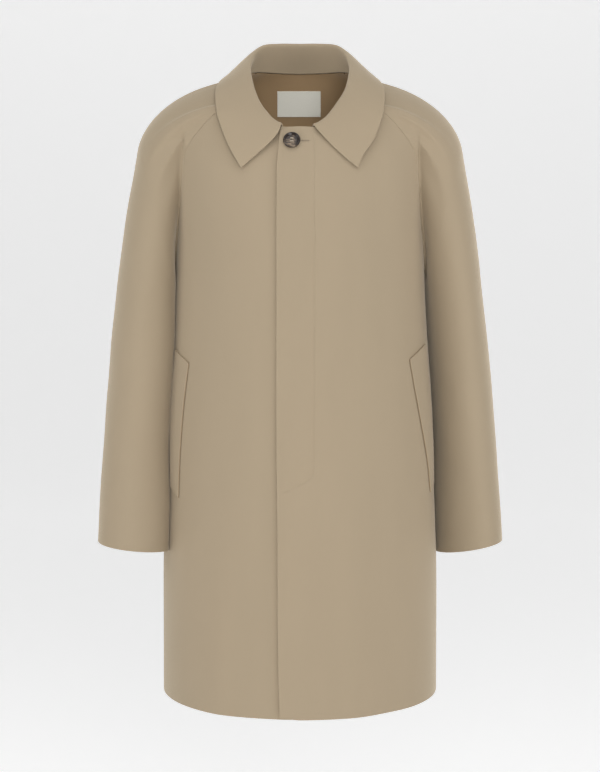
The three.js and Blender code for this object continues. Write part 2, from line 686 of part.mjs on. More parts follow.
function collarPiece() {
  const psis = [17, 20, 24, 29, 35, 42, 50, 58, 66, 75, 84, 93, 103, 114, 125, 135, 145, 155, 167, 180];
  // Each station is a psi and a side. The first few are drawn out to where each side ends.
  const station = (psi, sign) => {
    const end = sign < 0 ? COLLAR_LEFT_PSI : COLLAR_RIGHT_PSI;
    return { psi, sign, slide: (end - 17) * (1 - ease(17, 40, psi)) };
  };
  const stations = [
    ...psis.map((psi) => station(psi, -1)),
    ...psis.slice(0, -1).reverse().map((psi) => station(psi, 1)),
  ];
  const steps = [0, 0.3, 0.6, 0.8, 0.92, 1, 1.06, 1.14, 1.25, 1.4, 1.6, 1.8, 2];
  const point = (k, t) => {
    const low = Math.min(Math.floor(k), stations.length - 2);
    const [a, b] = [stations[low], stations[low + 1]];
    const f = k - low;
    const turnOf = (s) => (s.sign < 0 ? s.psi : 360 - s.psi);
    const turn = turnOf(a) + (turnOf(b) - turnOf(a)) * f;
    const sign = turn <= 180 ? -1 : 1;
    const psi = sign < 0 ? turn : 360 - turn;
    const end = sign < 0 ? COLLAR_LEFT_PSI : COLLAR_RIGHT_PSI;
    const slide = (end - 17) * (1 - ease(17, 40, psi));
    const p = collarPath(psi, sign, t);
    p.x += sign * 1.45 * slide;
    return p;
  };
  const ks = stations.map((_, k) => k);
  const range = [0, stations.length - 1];
  const visible = ks.map((k) => steps.map((t) => point(k, t)));
  const hidden = ks.map((k, i) =>
    steps.map((t, j) => {
      const normal = normalOf(point, k, t, range, [0, 2]);
      return visible[i][j].clone().addScaledVector(normal, COLLAR_WALL);
    }),
  );
  return wallBetween("collar", visible, hidden, COLLAR_CLOTH);
}
root.add(collarPiece());

// The share across a front row at which the plain body is x from the middle.
function shareAt(row, x) {
  let [low, high] = [0, 1];
  for (let k = 0; k < 40; k++) {
    const middle = (low + high) / 2;
    if (bodyPoint(row, middle, false).x < x) low = middle;
    else high = middle;
  }
  return (low + high) / 2;
}
const rowAtZ = (z) => 1 + (UNDERARM_Z - z) / (UNDERARM_Z - HEM_Z);

// A pocket welt: points of the front moved out, between an inner and an outer edge.
function weltPiece(name, sign, table) {
  const surface = (down, across) => {
    const [innerX, innerZ, outerX, outerZ] = read(table, down);
    const row = rowAtZ(innerZ + (outerZ - innerZ) * across);
    return { row, share: shareAt(row, innerX + (outerX - innerX) * across) };
  };
  const [rows, columns] = [spread(0, 1, 10), spread(0, 1, 4)];
  const grid = (lift) =>
    rows.map((down) =>
      columns.map((across) => {
        const { row, share } = surface(down, across);
        return bodySurface(row, share, sign, false, () => lift);
      }),
    );
  return wallBetween(name, grid(SEAM_GAP + 0.2 + WELT_WALL), grid(SEAM_GAP + 0.2), CLOTH);
}
root.add(weltPiece("pocket_welt_right", -1, WELT_RIGHT), weltPiece("pocket_welt_left", 1, WELT_LEFT));

// Label: inside the back below the neck, points of the back moved in.
function labelPiece() {
  const rowOf = (x, z) => {
    let [low, high] = [0, 1];
    for (let k = 0; k < 40; k++) {
      const middle = (low + high) / 2;
      if (backAt(middle, x).z > z) low = middle;
      else high = middle;
    }
    return (low + high) / 2;
  };
  const backAt = (row, x) => {
    let [low, high] = [0, 1];
    for (let k = 0; k < 30; k++) {
      const middle = (low + high) / 2;
      if (bodyPoint(row, middle, true).x < Math.abs(x)) low = middle;
      else high = middle;
    }
    return bodySurface(row, (low + high) / 2, x < 0 ? -1 : 1, true);
  };
  const [rows, columns] = [spread(LABEL.top, LABEL.bottom, 3), spread(LABEL.x0, LABEL.x1, 5)];
  const surface = (z, x) => backAt(rowOf(x, z), x);
  const layer = (depth) =>
    rows.map((z) =>
      columns.map((x) => {
        const normal = normalOf(surface, z, x, [LABEL.bottom - 2, LABEL.top + 2], [LABEL.x0 - 2, LABEL.x1 + 2]);
        if (normal.y < 0) normal.negate();
        return surface(z, x).addScaledVector(normal, -depth);
      }),
    );
  const first = WALL + SEAM_GAP + 0.1;
  return wallBetween("label", layer(first), layer(first + LABEL_WALL), LABEL_CLOTH);
}
root.add(labelPiece());

// A closed geometry as a solid that can be cut.
function solidOf(geometry) {
  geometry.deleteAttribute("normal");
  geometry.deleteAttribute("uv");
  const merged = mergeVertices(geometry, 1e-4);
  const whole = [];
  for (let i = 0; i < merged.index.count; i += 3) {
    const corners = [0, 1, 2].map((k) => merged.index.getX(i + k));
    if (new Set(corners).size === 3) whole.push(...corners);
  }
  return new wasm.Manifold(
    new wasm.Mesh({
      numProp: 3,
      vertProperties: merged.attributes.position.array,
      triVerts: new Uint32Array(whole),
    }),
  );
}

// Button: a rimmed disc with four holes through it, square to the cloth below it.
function buttonPiece() {
  const { radius, thick, rim } = BUTTON;
  const profile = [
    // radius, height from its back face
    [0, 0],
    [radius - 1.6, 0],
    [radius - 0.5, 0.8],
    [radius, 2],
    [radius - 0.4, thick - 0.9],
    [radius - 1.5, thick],
    [radius - 2.9, thick - 0.3],
    [radius - 4, thick - rim - 0.1],
    [0, thick - rim - 0.2],
  ];
  const disc = new THREE.LatheGeometry(profile.map(([r, height]) => new THREE.Vector2(r, height)), 28);
  let solid = solidOf(disc.rotateX(90 * RAD));
  for (const [i, j] of [[-1, -1], [-1, 1], [1, -1], [1, 1]]) {
    const hole = new THREE.CylinderGeometry(BUTTON.hole, BUTTON.hole, thick * 3, 12)
      .rotateX(90 * RAD)
      .translate(i * BUTTON.holeAt, j * BUTTON.holeAt, 0);
    solid = solid.subtract(solidOf(hole));
  }
  const data = solid.getMesh();
  const points = [];
  for (let i = 0; i < data.numVert; i++) {
    const k = i * data.numProp;
    points.push(vector(data.vertProperties[k], data.vertProperties[k + 1], data.vertProperties[k + 2]));
  }
  const triangles = [];
  for (let i = 0; i < data.numTri; i++) triangles.push([...data.triVerts.subarray(i * 3, i * 3 + 3)]);
  // Where the button's middle lies on the top front.
  let [low, high] = [0, 1];
  const at = (row) => {
    const share = shareAt(row, Math.abs(BUTTON.x));
    return { share, p: bodySurface(row, -share, 1, false, topShift) };
  };
  for (let k = 0; k < 40; k++) {
    const middle = (low + high) / 2;
    if (at(middle).p.z > BUTTON.z) low = middle;
    else high = middle;
  }
  const row = (low + high) / 2;
  const { share, p } = at(row);
  const normal = normalOf((u, v) => bodySurface(u, v, 1, false, topShift), row, -share, [0, 2], [-0.5, 1]);
  if (normal.y > 0) normal.negate();
  const turn = new THREE.Quaternion().setFromUnitVectors(vector(0, 0, 1), normal);
  const lift = 0.3;
  const placed = points.map((q) => q.applyQuaternion(turn).add(p).addScaledVector(normal, lift));
  return meshOf("button", placed, triangles, HORN);
}
root.add(buttonPiece());

export default root;
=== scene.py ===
"""A beige raglan car coat, filled out as if worn, with nobody in it."""

import math

import bpy
import numpy as np
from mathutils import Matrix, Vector


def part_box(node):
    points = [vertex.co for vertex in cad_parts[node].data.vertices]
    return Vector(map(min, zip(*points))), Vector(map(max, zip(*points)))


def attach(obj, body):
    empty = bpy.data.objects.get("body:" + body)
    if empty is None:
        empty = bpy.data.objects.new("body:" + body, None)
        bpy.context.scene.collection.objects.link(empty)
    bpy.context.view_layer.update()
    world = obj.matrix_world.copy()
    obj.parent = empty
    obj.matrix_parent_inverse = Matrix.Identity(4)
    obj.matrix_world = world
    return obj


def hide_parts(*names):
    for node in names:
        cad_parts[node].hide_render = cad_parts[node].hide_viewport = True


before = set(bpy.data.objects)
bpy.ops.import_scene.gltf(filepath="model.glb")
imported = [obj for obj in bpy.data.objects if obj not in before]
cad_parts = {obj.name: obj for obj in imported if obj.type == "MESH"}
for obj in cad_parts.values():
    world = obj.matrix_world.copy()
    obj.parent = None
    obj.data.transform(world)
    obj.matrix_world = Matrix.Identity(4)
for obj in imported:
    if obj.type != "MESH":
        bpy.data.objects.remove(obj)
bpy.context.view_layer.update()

bl_info = {
    "name": "Car Coat",
    "version": (1, 0, 0),
    "blender": (4, 5, 0),
    "location": "View3D > Sidebar > Coat",
    "description": "Makes a raglan car coat, its trim and its studio",
    "category": "Object",
}

BODY_NAME = "root"
LIT_SPOT = (0, 0, -0.45)  # where the lights aim, in metres
MM = 0.001  # the coat is worked out in millimetres and made in metres

# Sizes of the cut, in millimetres. The neck is read by psi, the degrees round it from the front.
NECK_HALF_X = 84
NECK_HALF_Y = 92
NECK_MID_Y = -2
RAGLAN_FRONT_PSI = 60
RAGLAN_BACK_PSI = 130
OVERARM_PSI = 93
NECK_DEGREES = 150  # where the sleeve's top edge passes from the raglan seam to the neck
SLEEVE_STEPS = 7  # rings from the seam to the cuff
UNDERARM_Z = -270
HEM_Z = -896
HEM_DROP_FRONT = -2.5
HEM_DROP_SIDE = 3.5
HEM_DROP_BACK = 2
UPPER_LENGTH = 232  # a panel's length above the underarm, and that of the back
UPPER_LENGTH_BACK = 240
LOWER_LENGTH = 626
UNDER_EDGE = 34  # how far the under front reaches past the middle
PLACKET_SHIFT = 1.3  # how far the overlap's two cloths are moved apart
WELT_LIFT = 0.5
RESTING = 0.9  # room between a sleeve and the body that it rests on
COLLAR_START = 17  # psi at which the collar begins, on both sides
COLLAR_END_RIGHT = 17.5
COLLAR_END_LEFT = 13
FOOT_LIFT = 0.1  # the collar's foot above the neck seam
FOOT_DROP = 0.6  # how much lower that foot is at the front
ROLL_IN = 4.3  # how much further in the left roll lies beside the neck
FLY_LINE_X = 20
FLY_LINE_TOP = -66
FLY_LINE_BEND = -540
FLY_LINE_END = (-27, -573)
EDGE_LIFT = 1.6  # how far the top front's pressed edge stands off
BUTTON_X = -11.4
BUTTON_Z = -81
BUTTON_RECESS = 1.24  # how deep the middle of the button lies under its face
HOLE_AT = 2.3
HOLE_RADIUS = 1.0
BUTTONHOLE_INNER = 12.4
LABEL_EDGES = (-34, 31)
LABEL_TOP = -8
LABEL_BOTTOM = -46
LABEL_GAP = 0.4  # between the back's inner face and the label
INSIDE = 1000  # added to the cut's third number on a cloth's inner face

# Distances from a rim at which a cloth has extra rows so that its edge is round.
RIM_STEPS = (0.0, 0.1, 0.28, 0.52, 0.85, 1.5, 2.6)

# How a cloth's rims end: sewn to a neighbour, or free.
PANEL_RIMS = {"top": "seam", "bottom": "free", "start": "seam", "end": "seam"}
FRONT_RIMS = {"top": "seam", "bottom": "free", "start": "free", "end": "seam"}
FREE_RIMS = {"top": "free", "bottom": "free", "start": "free", "end": "free"}

MADE = {}  # each cloth by its node's name, for the pieces that lie on it

# Tables of the cut. Each table from NECK to WELT_LEFT is read by its first column.
LEAF_BENDS = (
    # what is shifted near the front: the right leaf's x (outwards), y, z, then the left leaf's
    ("roll", (0, 0, 0.3), (-1, 0, -1.2)),
    ("near", (-0.4, -9.5, -16.5), (8.8, -8, -13)),
    ("far", (-9.9, 0, 3), (-2.2, -2, -4.6)),
    ("point", (-2, 0, 0), (2.6, 0, 0.5)),
)
NECK = (
    # psi, z
    (-30, -56.8),
    (-17, -61.7),
    (0, -61.5),
    (17, -61.7),
    (30, -56.8),
    (48, -41),
    (60, -27),
    (75, -9),
    (90, 4.5),
    (110, 14.5),
    (130, 18),
    (155, 17),
    (180, 16),
)
RAGLAN = (
    # w, x, y, z
    (0.0, 72.7, -48, -27),
    (0.09, 96.5, -58, -31.5),
    (0.17, 118.5, -65, -41.5),
    (0.29, 144.5, -68, -68),
    (0.4, 162, -65, -96),
    (0.53, 167.5, -59, -134),
    (0.66, 171, -49, -172),
    (0.8, 175.8, -34, -214),
    (0.9, 179.3, -21, -246),
    (0.96, 180.7, -10, -264),
    (1.0, 181, 0, -270),
    (1.04, 180.7, 10, -264),
    (1.1, 179.4, 23, -244),
    (1.2, 175.6, 48, -206),
    (1.35, 168, 76, -160),
    (1.52, 159, 94, -110),
    (1.66, 142, 100, -65),
    (1.78, 118, 93, -30),
    (1.89, 92, 78, -2),
    (2.0, 64.3, 57.1, 18),
)
CHEST = (
    # w, y, z, turn in degrees, roundness
    (0.0, -94, -61.5, 60, 2.0),
    (0.17, -106.5, -84, 63, 2.0),
    (0.29, -115, -104, 66, 2.02),
    (0.4, -123, -127, 69, 2.05),
    (0.53, -132, -157, 72, 2.08),
    (0.66, -140.7, -190, 76, 2.1),
    (0.8, -146.4, -224, 78.5, 2.13),
    (0.9, -149.1, -249, 83, 2.15),
    (0.96, -150.0, -262, 86.9, 2.15),
    (1.0, -150.5, -270, 90, 2.15),
    (1.1, -151.6, -292, 90, 2.15),
)
UPPER_BACK = (
    # w, y, z, turn in degrees, roundness
    (0.9, 140.9, -292, 90, 2.15),
    (1.0, 140, -270, 90, 2.15),
    (1.04, 139.65, -262, 86.6, 2.15),
    (1.1, 139, -248, 82, 2.15),
    (1.2, 137.2, -215, 77, 2.13),
    (1.35, 132, -165, 75, 2.1),
    (1.52, 122, -108, 69, 2.06),
    (1.66, 111.5, -64, 63, 2.03),
    (1.78, 103, -32, 58, 2.0),
    (1.89, 96.5, -8, 54, 2.0),
    (2.0, 90, 16, 50, 2.0),
)
BODY = (
    # drop below the origin, half width, front y, back y, roundness
    (248, 180.2, -149.4, 139.1, 2.15),
    (270, 181, -150.5, 140, 2.15),
    (330, 184, -153.5, 142.5, 2.15),
    (390, 188, -156, 145, 2.15),
    (440, 192, -157.3, 146.5, 2.15),
    (490, 195.2, -158.5, 148, 2.15),
    (545, 197, -159.8, 149.5, 2.15),
    (590, 197.8, -160.8, 150.7, 2.14),
    (640, 200.2, -161.8, 151.8, 2.13),
    (700, 202.4, -163, 153, 2.12),
    (800, 203.2, -164.5, 155, 2.1),
    (896, 203.8, -165, 156.5, 2.1),
)
FRONT_EDGE = (
    # drop below the origin, reach
    (60, 26),
    (77, 28.8),
    (106, 31.6),
    (121, 32.6),
    (302, 32.8),
    (500, 33.1),
    (614, 31.9),
    (817, 31),
    (899, 28.8),
)
RING_RIGHT = (
    # step, over x y z, under x y z, front x y z, back x y z
    (1.0, 236, 2, -97, 176.8, -6, -298, 204, -74, -195, 204, 90, -195),
    (2.0, 255, 2, -213, 172.8, -12, -345, 221, -83, -280, 224, 86, -280),
    (3.0, 270, 0, -335, 174.6, -18, -410, 231, -86, -372, 233, 80, -372),
    (4.0, 280, -4, -440, 180.9, -18, -478, 238, -89, -460, 240, 70, -460),
    (5.0, 286, -12, -530, 182.1, -20, -546, 243, -93, -536, 244, 52, -536),
    (6.0, 290.5, -24, -598, 180.3, -28, -612, 245, -99, -604, 246, 28, -602),
    (7.0, 294.2, -36, -661.5, 183.5, -30, -676.5, 246.5, -104, -666.3, 246, 8, -662),
)
RING_LEFT = (
    # step, over x y z, under x y z, front x y z, back x y z
    (1.0, 236, 2, -97, 184.8, 26, -298, 204, -74, -195, 204, 90, -195),
    (2.0, 255, 2, -213, 185, 32, -345, 221, -81, -280, 224, 86, -280),
    (3.0, 270, 0, -335, 189.2, 38, -410, 231, -80, -372, 233, 80, -372),
    (4.0, 280.4, -0.7, -440.5, 193.8, 38, -478, 238.9, -78.7, -460.5, 240.9, 78, -460.5),
    (5.0, 287.3, -1.5, -531.8, 195.8, 36, -550, 245.8, -76.5, -539.8, 246.8, 68, -539.8),
    (6.0, 292.6, -6.3, -601, 197.4, 34, -618, 249.6, -76.3, -609, 250.6, 52, -607),
    (7.0, 296.5, -15, -663.5, 199, 42, -693, 252, -80, -670, 251.5, 36, -672),
)
LEAVE_FRONT = (
    # degrees, x, y, z, length share of the chord
    (0, 0.3, 0.05, -1, 0.9),
    (15, 0.72, 0.16, -0.7, 0.9),
    (30, 0.55, 0.65, -0.45, 0.7),
    (60, 0.28, 0.93, -0.15, 0.6),
    (84, 0.4, 0.85, -0.15, 0.5),
    (104, 0.97, 0.15, -0.15, 1.0),
    (120, 0.98, 0.0, -0.12, 1.2),
    (150, 0.98, -0.05, -0.12, 1.32),
    (180, 0.99, 0.0, -0.08, 1.42),
)
LEAVE_BACK = (
    # degrees, x, y, z, length share of the chord
    (0, 0.3, 0.05, -1, 0.9),
    (15, 0.75, -0.05, -0.7, 0.9),
    (30, 0.9, -0.12, -0.55, 0.9),
    (60, 0.97, -0.1, -0.25, 0.9),
    (90, 0.98, 0.0, -0.2, 1.0),
    (120, 0.97, 0.06, -0.36, 1.1),
    (150, 0.95, 0.05, -0.42, 1.1),
    (165, 0.97, 0.03, -0.3, 1.22),
    (180, 0.99, 0.0, -0.08, 1.42),
)
COLLAR = (
    # psi, roll x y z, edge x y z, round share, bulge
    (17, 26, -94.5, -58.8, 84, -115.5, -119.5, 4, 2),
    (24, 33.5, -91, -55.5, 92.5, -109, -102, 4.5, 3),
    (33, 43.5, -84.5, -47.5, 102, -99, -84.5, 5, 4),
    (48, 57.5, -69, -30, 112, -84, -60, 6, 5),
    (60, 65.5, -51, -13, 118, -70, -40.5, 8, 5),
    (75, 71.5, -27, 7.5, 120.5, -38, -13, 10, 4),
    (90, 73.7, -4, 21.5, 115.5, -6, 1.5, 11, 3),
    (110, 71, 27, 37, 106, 38, 8, 12, 3.5),
    (130, 63.5, 51, 48.5, 92, 83, -2, 14, 5),
    (145, 51.5, 66, 56.5, 68, 95.5, -9, 11, 4),
    (160, 29, 76.5, 58.5, 39, 100.5, -11, 7, 3),
    (180, 0, 80.5, 58.5, 0, 103, -11, 7, 3),
)
WELT_RIGHT = (
    # share down, inner x, inner z, outer x, outer z
    (0.0, 157.5, -396, 178.5, -381),
    (0.25, 164, -445, 183.5, -430),
    (0.5, 168.8, -494, 187, -480),
    (0.75, 172.2, -543, 187.3, -531),
    (1.0, 174, -593, 187, -581),
)
WELT_LEFT = (
    # share down, inner x, inner z, outer x, outer z
    (0.0, 155, -390.5, 179, -373.5),
    (0.25, 164.5, -441, 185, -424),
    (0.5, 174.2, -491, 190, -476),
    (0.75, 183, -541, 193, -528),
    (1.0, 188.6, -590, 194.3, -580),
)
FOLDS = (
    # back?, x, width, top z, bottom z, push
    (0, -118, 26, -420, -1000, 2.2),
    (0, -62, 22, -520, -1000, -1.6),
    (0, 78, 24, -470, -1000, 2.0),
    (0, 128, 22, -520, -1000, -1.6),
    (1, -105, 28, -380, -1000, 2.4),
    (1, -45, 26, -450, -1000, -2.0),
    (1, 20, 28, -420, -1000, 2.2),
    (1, 95, 28, -380, -1000, -2.2),
)
# Soft creases, each from one point to another as seen from the front.
FRONT_CREASES = (
    # x0, z0, x1, z1, half width, height (a trough is negative)
    (-60, -190, -46, -330, 16, 0.7),
    (-30, -150, -96, -250, 20, -0.6),
    (52, -140, 100, -240, 18, 0.6),
    (80, -280, 64, -470, 17, -0.7),
    (140, -300, 150, -400, 12, 0.7),
    (158, -520, 176, -606, 11, 1.0),
    (-150, -600, -158, -720, 12, 0.8),
    (-36, -640, -52, -860, 18, 0.6),
    (16, -690, 30, -870, 15, -0.6),
    (150, -760, 154, -880, 13, -0.7),
    (-104, -700, -92, -880, 13, -0.7),
    (30, -560, 20, -640, 9, -0.45),
    (-4, -186, 8, -210, 8, -0.35),
    (-4, -300, 10, -326, 8, -0.35),
    (-4, -414, 8, -440, 8, -0.35),
    (-2, -524, 10, -548, 8, -0.35),
)
SLEEVE_CREASES = (
    # x0, z0, x1, z1, half width, height
    (206, -428, 219, -474, 8, -1.3),
    (203, -500, 214, -560, 10, -1.0),
    (232, -380, 246, -470, 16, 0.9),
    (252, -250, 262, -380, 18, -0.8),
    (270, -450, 277, -610, 14, 0.7),
    (236, -560, 240, -650, 12, -0.7),
    (-204, -300, -212, -372, 10, -1.0),
    (-236, -400, -248, -500, 16, 0.9),
    (-254, -230, -264, -350, 18, -0.8),
    (-216, -520, -222, -640, 11, -0.8),
    (-268, -470, -276, -620, 14, 0.7),
)
BACK_CREASES = (
    # x0, z0, x1, z1, half width, height
    (-60, -120, -110, -260, 20, -0.9),
    (60, -120, 108, -260, 20, -0.9),
    (-20, -170, -26, -420, 22, 0.8),
    (40, -260, 46, -520, 20, -0.7),
    (-120, -300, -130, -460, 16, 0.9),
    (126, -320, 132, -500, 16, 0.9),
    (-80, -600, -88, -880, 17, -0.8),
    (70, -620, 64, -880, 17, 0.8),
    (-6, -640, 2, -880, 15, -0.7),
)
SLEEVE_BACK_CREASES = (
    # x0, z0, x1, z1, half width, height
    (196, -300, 226, -350, 9, -1.6),
    (202, -372, 238, -412, 9, -1.7),
    (206, -440, 236, -470, 9, -1.2),
    (254, -200, 262, -330, 18, -0.8),
    (180, -180, 200, -262, 9, 1.2),
    (-196, -304, -224, -352, 9, -1.6),
    (-202, -380, -236, -416, 9, -1.7),
    (-206, -446, -234, -478, 9, -1.2),
    (-252, -210, -262, -340, 18, -0.8),
    (-180, -176, -198, -258, 9, 1.2),
)

SLEEVE_FOLDS = (
    # x0, z0, x1, z1, reach, depth: outside the line the cloth drops under its edge and comes back
    (-165.5, -50, -166, -122, 8, 6.5),
    (169, -56, 168, -122, 8, 6.0),
)


def read(table, t):
    """The other columns of a table at t, on a smooth curve through its rows."""
    rows = np.asarray(table, float)
    t = np.asarray(t, float)
    last = len(rows) - 1
    k = np.arange(last + 1)
    above, below = np.minimum(k + 1, last), np.maximum(k - 1, 0)
    slopes = (rows[above] - rows[below]) / (rows[above, :1] - rows[below, :1])
    i = np.clip(np.searchsorted(rows[:, 0], t, side="left") - 1, 0, last - 1)
    low, high = rows[i], rows[i + 1]
    span = high[..., :1] - low[..., :1]
    s = np.clip((t[..., None] - low[..., :1]) / span, 0, 1)
    made = (
        low * (2 * s**3 - 3 * s**2 + 1)
        + high * (3 * s**2 - 2 * s**3)
        + span * (slopes[i] * (s**3 - 2 * s**2 + s) + slopes[i + 1] * (s**3 - s**2))
    )
    return made[..., 1:]


def ease(start, end, value):
    t = np.clip((np.asarray(value, float) - start) / (end - start), 0, 1)
    return t * t * (3 - 2 * t)


def power(value, exponent):
    return np.sign(value) * np.abs(value) ** exponent


def points(x, y, z):
    return np.stack(np.broadcast_arrays(x, y, z), -1).astype(float)


def unit(vectors):
    length = np.linalg.norm(vectors, axis=-1, keepdims=True)
    return vectors / np.maximum(length, 1e-12)


def dot(a, b):
    return (a * b).sum(-1, keepdims=True)


def mirrored(made, side):
    return made * np.array([side, 1, 1])


def solve(test, low, high, shape, rounds=42):
    """The value between low and high, for each place in a shape, at which test turns from true to false."""
    low, high = np.full(shape, float(low)), np.full(shape, float(high))
    for _ in range(rounds):
        middle = (low + high) / 2
        before = test(middle)
        low, high = np.where(before, middle, low), np.where(before, high, middle)
    return (low + high) / 2


def neck_point(psi, side):
    angle = np.radians(psi)
    y = NECK_MID_Y - NECK_HALF_Y * np.cos(angle)
    return points(side * NECK_HALF_X * np.sin(angle), y, read(NECK, psi)[..., 0])


def climbed(row, share, turn, back):
    """How far a row has climbed from its middle to its side."""
    even = (1 - np.cos(share * turn)) / (1 - np.cos(turn))
    start, end = (180, RAGLAN_BACK_PSI) if back else (0, RAGLAN_FRONT_PSI)
    z_start, z_end = (read(NECK, np.array(float(psi)))[..., 0] for psi in (start, end))
    here = read(NECK, start + (end - start) * share)[..., 0]
    return even + ((here - z_start) / (z_end - z_start) - even) * np.clip(1 - row, 0, 1) ** 2


def body_point(row, share, back):
    """The body's plain surface: row 0 neck, 1 underarm, 2 hem; share 0 in the middle and 1 at the side."""
    row, share = np.broadcast_arrays(np.asarray(row, float), np.asarray(share, float))
    upper = row <= 1
    w = 2 - row if back else row
    chest = read(UPPER_BACK if back else CHEST, w)
    seam = read(RAGLAN, w)
    z = UNDERARM_Z + (HEM_Z - UNDERARM_Z) * (row - 1)
    low = read(BODY, -z)
    drop = HEM_DROP_BACK if back else HEM_DROP_FRONT
    middle_y = np.where(upper, chest[..., 0], low[..., 2 if back else 1])
    middle_z = np.where(upper, chest[..., 1], z + drop * (row - 1))
    side_x = np.where(upper, seam[..., 0], low[..., 0])
    side_y = np.where(upper, seam[..., 1], 0)
    side_z = np.where(upper, seam[..., 2], z + HEM_DROP_SIDE * (row - 1))
    turn = np.radians(np.where(upper, chest[..., 2], 90))
    e = 2 / np.where(upper, chest[..., 3], low[..., 3])
    angle = share * turn
    across = power(np.sin(angle), e) / power(np.sin(turn), e)
    round_turn = power(np.maximum(np.cos(turn), 0), e)
    deep = (1 - power(np.cos(angle), e)) / (1 - round_turn)
    up = climbed(row, share, turn, back)
    return points(
        side_x * across,
        middle_y + (side_y - middle_y) * deep,
        middle_z + (side_z - middle_z) * up,
    )


def fold_push(x, z, back):
    """The long soft folds that the cloth's weight makes."""
    push = 0
    for behind, middle, width, top, bottom, height in FOLDS:
        if bool(behind) == back:
            push = push + height * np.exp(-(((x - middle) / width) ** 2)) * ease(top, bottom + 100, z)
    return push


def body_surface(row, share, sign, back, shift=None):
    """The panel's surface with its long folds, on the side of the sign given."""
    step = 1e-3
    row, share = np.broadcast_arrays(np.asarray(row, float), np.asarray(share, float))
    plain = mirrored(body_point(row, share, back), sign)
    along = mirrored(body_point(row, share + step, back) - body_point(row, share - step, back), sign)
    low = np.clip(row - step, 0, 2 - 2 * step)
    down = mirrored(body_point(low + 2 * step, share, back) - body_point(low, share, back), sign)
    normal = unit(np.cross(along, down))
    y_in = normal[..., 1] * (-1 if back else 1) > 0
    flip = np.where(np.abs(normal[..., 1]) > 0.05, y_in, normal[..., 0] * sign < 0)
    normal = np.where(flip[..., None], -normal, normal)
    push = fold_push(plain[..., 0], plain[..., 2], back)
    if shift is not None:
        push = push + shift(plain[..., 0])
    return plain + normal * np.asarray(push)[..., None]


def top_shift(x):
    return PLACKET_SHIFT * ease(70, 28, x)


def under_shift(x):
    return -PLACKET_SHIFT * ease(-70, -34, x)


def plain_normal(row, share, back):
    step = 1e-3
    low = np.maximum(row - step, 0)
    along = body_point(row, share, back) - body_point(row, share - step, back)
    down = body_point(low + step, share, back) - body_point(low, share, back)
    normal = unit(np.cross(along, down))
    inward = normal[..., 1:2] * (1 if back else -1) < 0
    return np.where(inward, -normal, normal)


def opening_point(degrees, back):
    """The raglan seam, and above it the neckline over the shoulder."""
    w = 1 - degrees / NECK_DEGREES
    seam = read(RAGLAN, np.clip(2 - w if back else w, 0, 2))
    start = RAGLAN_BACK_PSI if back else RAGLAN_FRONT_PSI
    share = np.clip((degrees - NECK_DEGREES) / (180 - NECK_DEGREES), 0, 1)
    neck = neck_point(start + (OVERARM_PSI - start) * share, 1)
    return np.where((degrees <= NECK_DEGREES)[..., None], seam, neck)


def body_side(y, z):
    """How far out the body's side stands below the underarm."""
    row = read(BODY, np.clip(-z, 248, -HEM_Z))
    depth = np.where(y < 0, -row[..., 1], row[..., 2])
    across = np.maximum(0, 1 - np.abs(y / depth) ** row[..., 3])
    return row[..., 0] * across ** (1 / row[..., 3])


def rings_of(sign):
    return RING_LEFT if sign > 0 else RING_RIGHT


def ring_point(step, degrees, back, rings):
    row = read(rings, step)
    over, under, front, rear = (row[..., k : k + 3] for k in (0, 3, 6, 9))
    middle, axis = (over + under) / 2, (over - under) / 2
    out = (rear if back else front) - middle
    angle = np.radians(degrees)
    flatter = 0.94 - (0 if back else 0.1) * ease(1, 3, step)
    made = middle - axis * np.cos(angle)[..., None] + out * power(np.sin(angle), flatter)[..., None]
    reach = made[..., 0] - body_side(made[..., 1], made[..., 2]) - RESTING
    made[..., 0] += (np.hypot(reach, 2.2) - reach) / 2 * ease(-240, -268, made[..., 2])
    return made


def leaving(degrees, back):
    """The way in which the sleeve leaves its seam, and how far that carries."""
    row = read(LEAVE_BACK if back else LEAVE_FRONT, degrees)
    way, length = unit(row[..., :3]), row[..., 3:]
    start, end = ((70, 110), (125, 150)) if back else ((90, 120), (NECK_DEGREES, 180))
    flat = ease(*start, degrees) * (1 - ease(*end, degrees))
    normal = plain_normal(1 - np.minimum(degrees, NECK_DEGREES) / NECK_DEGREES, 1.0, back)
    laid = unit(way - normal * dot(way, normal) * flat[..., None])
    return np.where(flat[..., None] > 0, laid, way), length


def sleeve_point(step, degrees, back, rings):
    """The sleeve on +X: step 0 at the seam, 1 at the armhole, 7 at the cuff; degrees from under to over."""
    step, degrees = np.broadcast_arrays(np.asarray(step, float), np.asarray(degrees, float))
    lower = ring_point(np.maximum(step, 1), degrees, back, rings)
    one = np.ones_like(step)
    start = opening_point(degrees, back)
    first = ring_point(one, degrees, back, rings)
    second = ring_point(one * 1.02, degrees, back, rings)
    length = np.linalg.norm(first - start, axis=-1, keepdims=True)
    way, share = leaving(degrees, back)
    t0, t1 = way * length * share, unit(second - first) * length * 0.8
    s = np.clip(step, 0, 1)[..., None]
    upper = (
        start * (2 * s**3 - 3 * s**2 + 1)
        + t0 * (s**3 - 2 * s**2 + s)
        + first * (3 * s**2 - 2 * s**3)
        + t1 * (s**3 - s**2)
    )
    return np.where((step >= 1)[..., None], lower, upper)


def normal_of(surface, u, v, u_range, v_range):
    """Unit normal of surface(u, v), on the side that its two directions give."""
    du, dv = (u_range[1] - u_range[0]) * 1e-4, (v_range[1] - v_range[0]) * 1e-4
    a = surface(np.minimum(u + du, u_range[1]), v) - surface(np.maximum(u - du, u_range[0]), v)
    b = surface(u, np.minimum(v + dv, v_range[1])) - surface(u, np.maximum(v - dv, v_range[0]))
    return unit(np.cross(a, b))


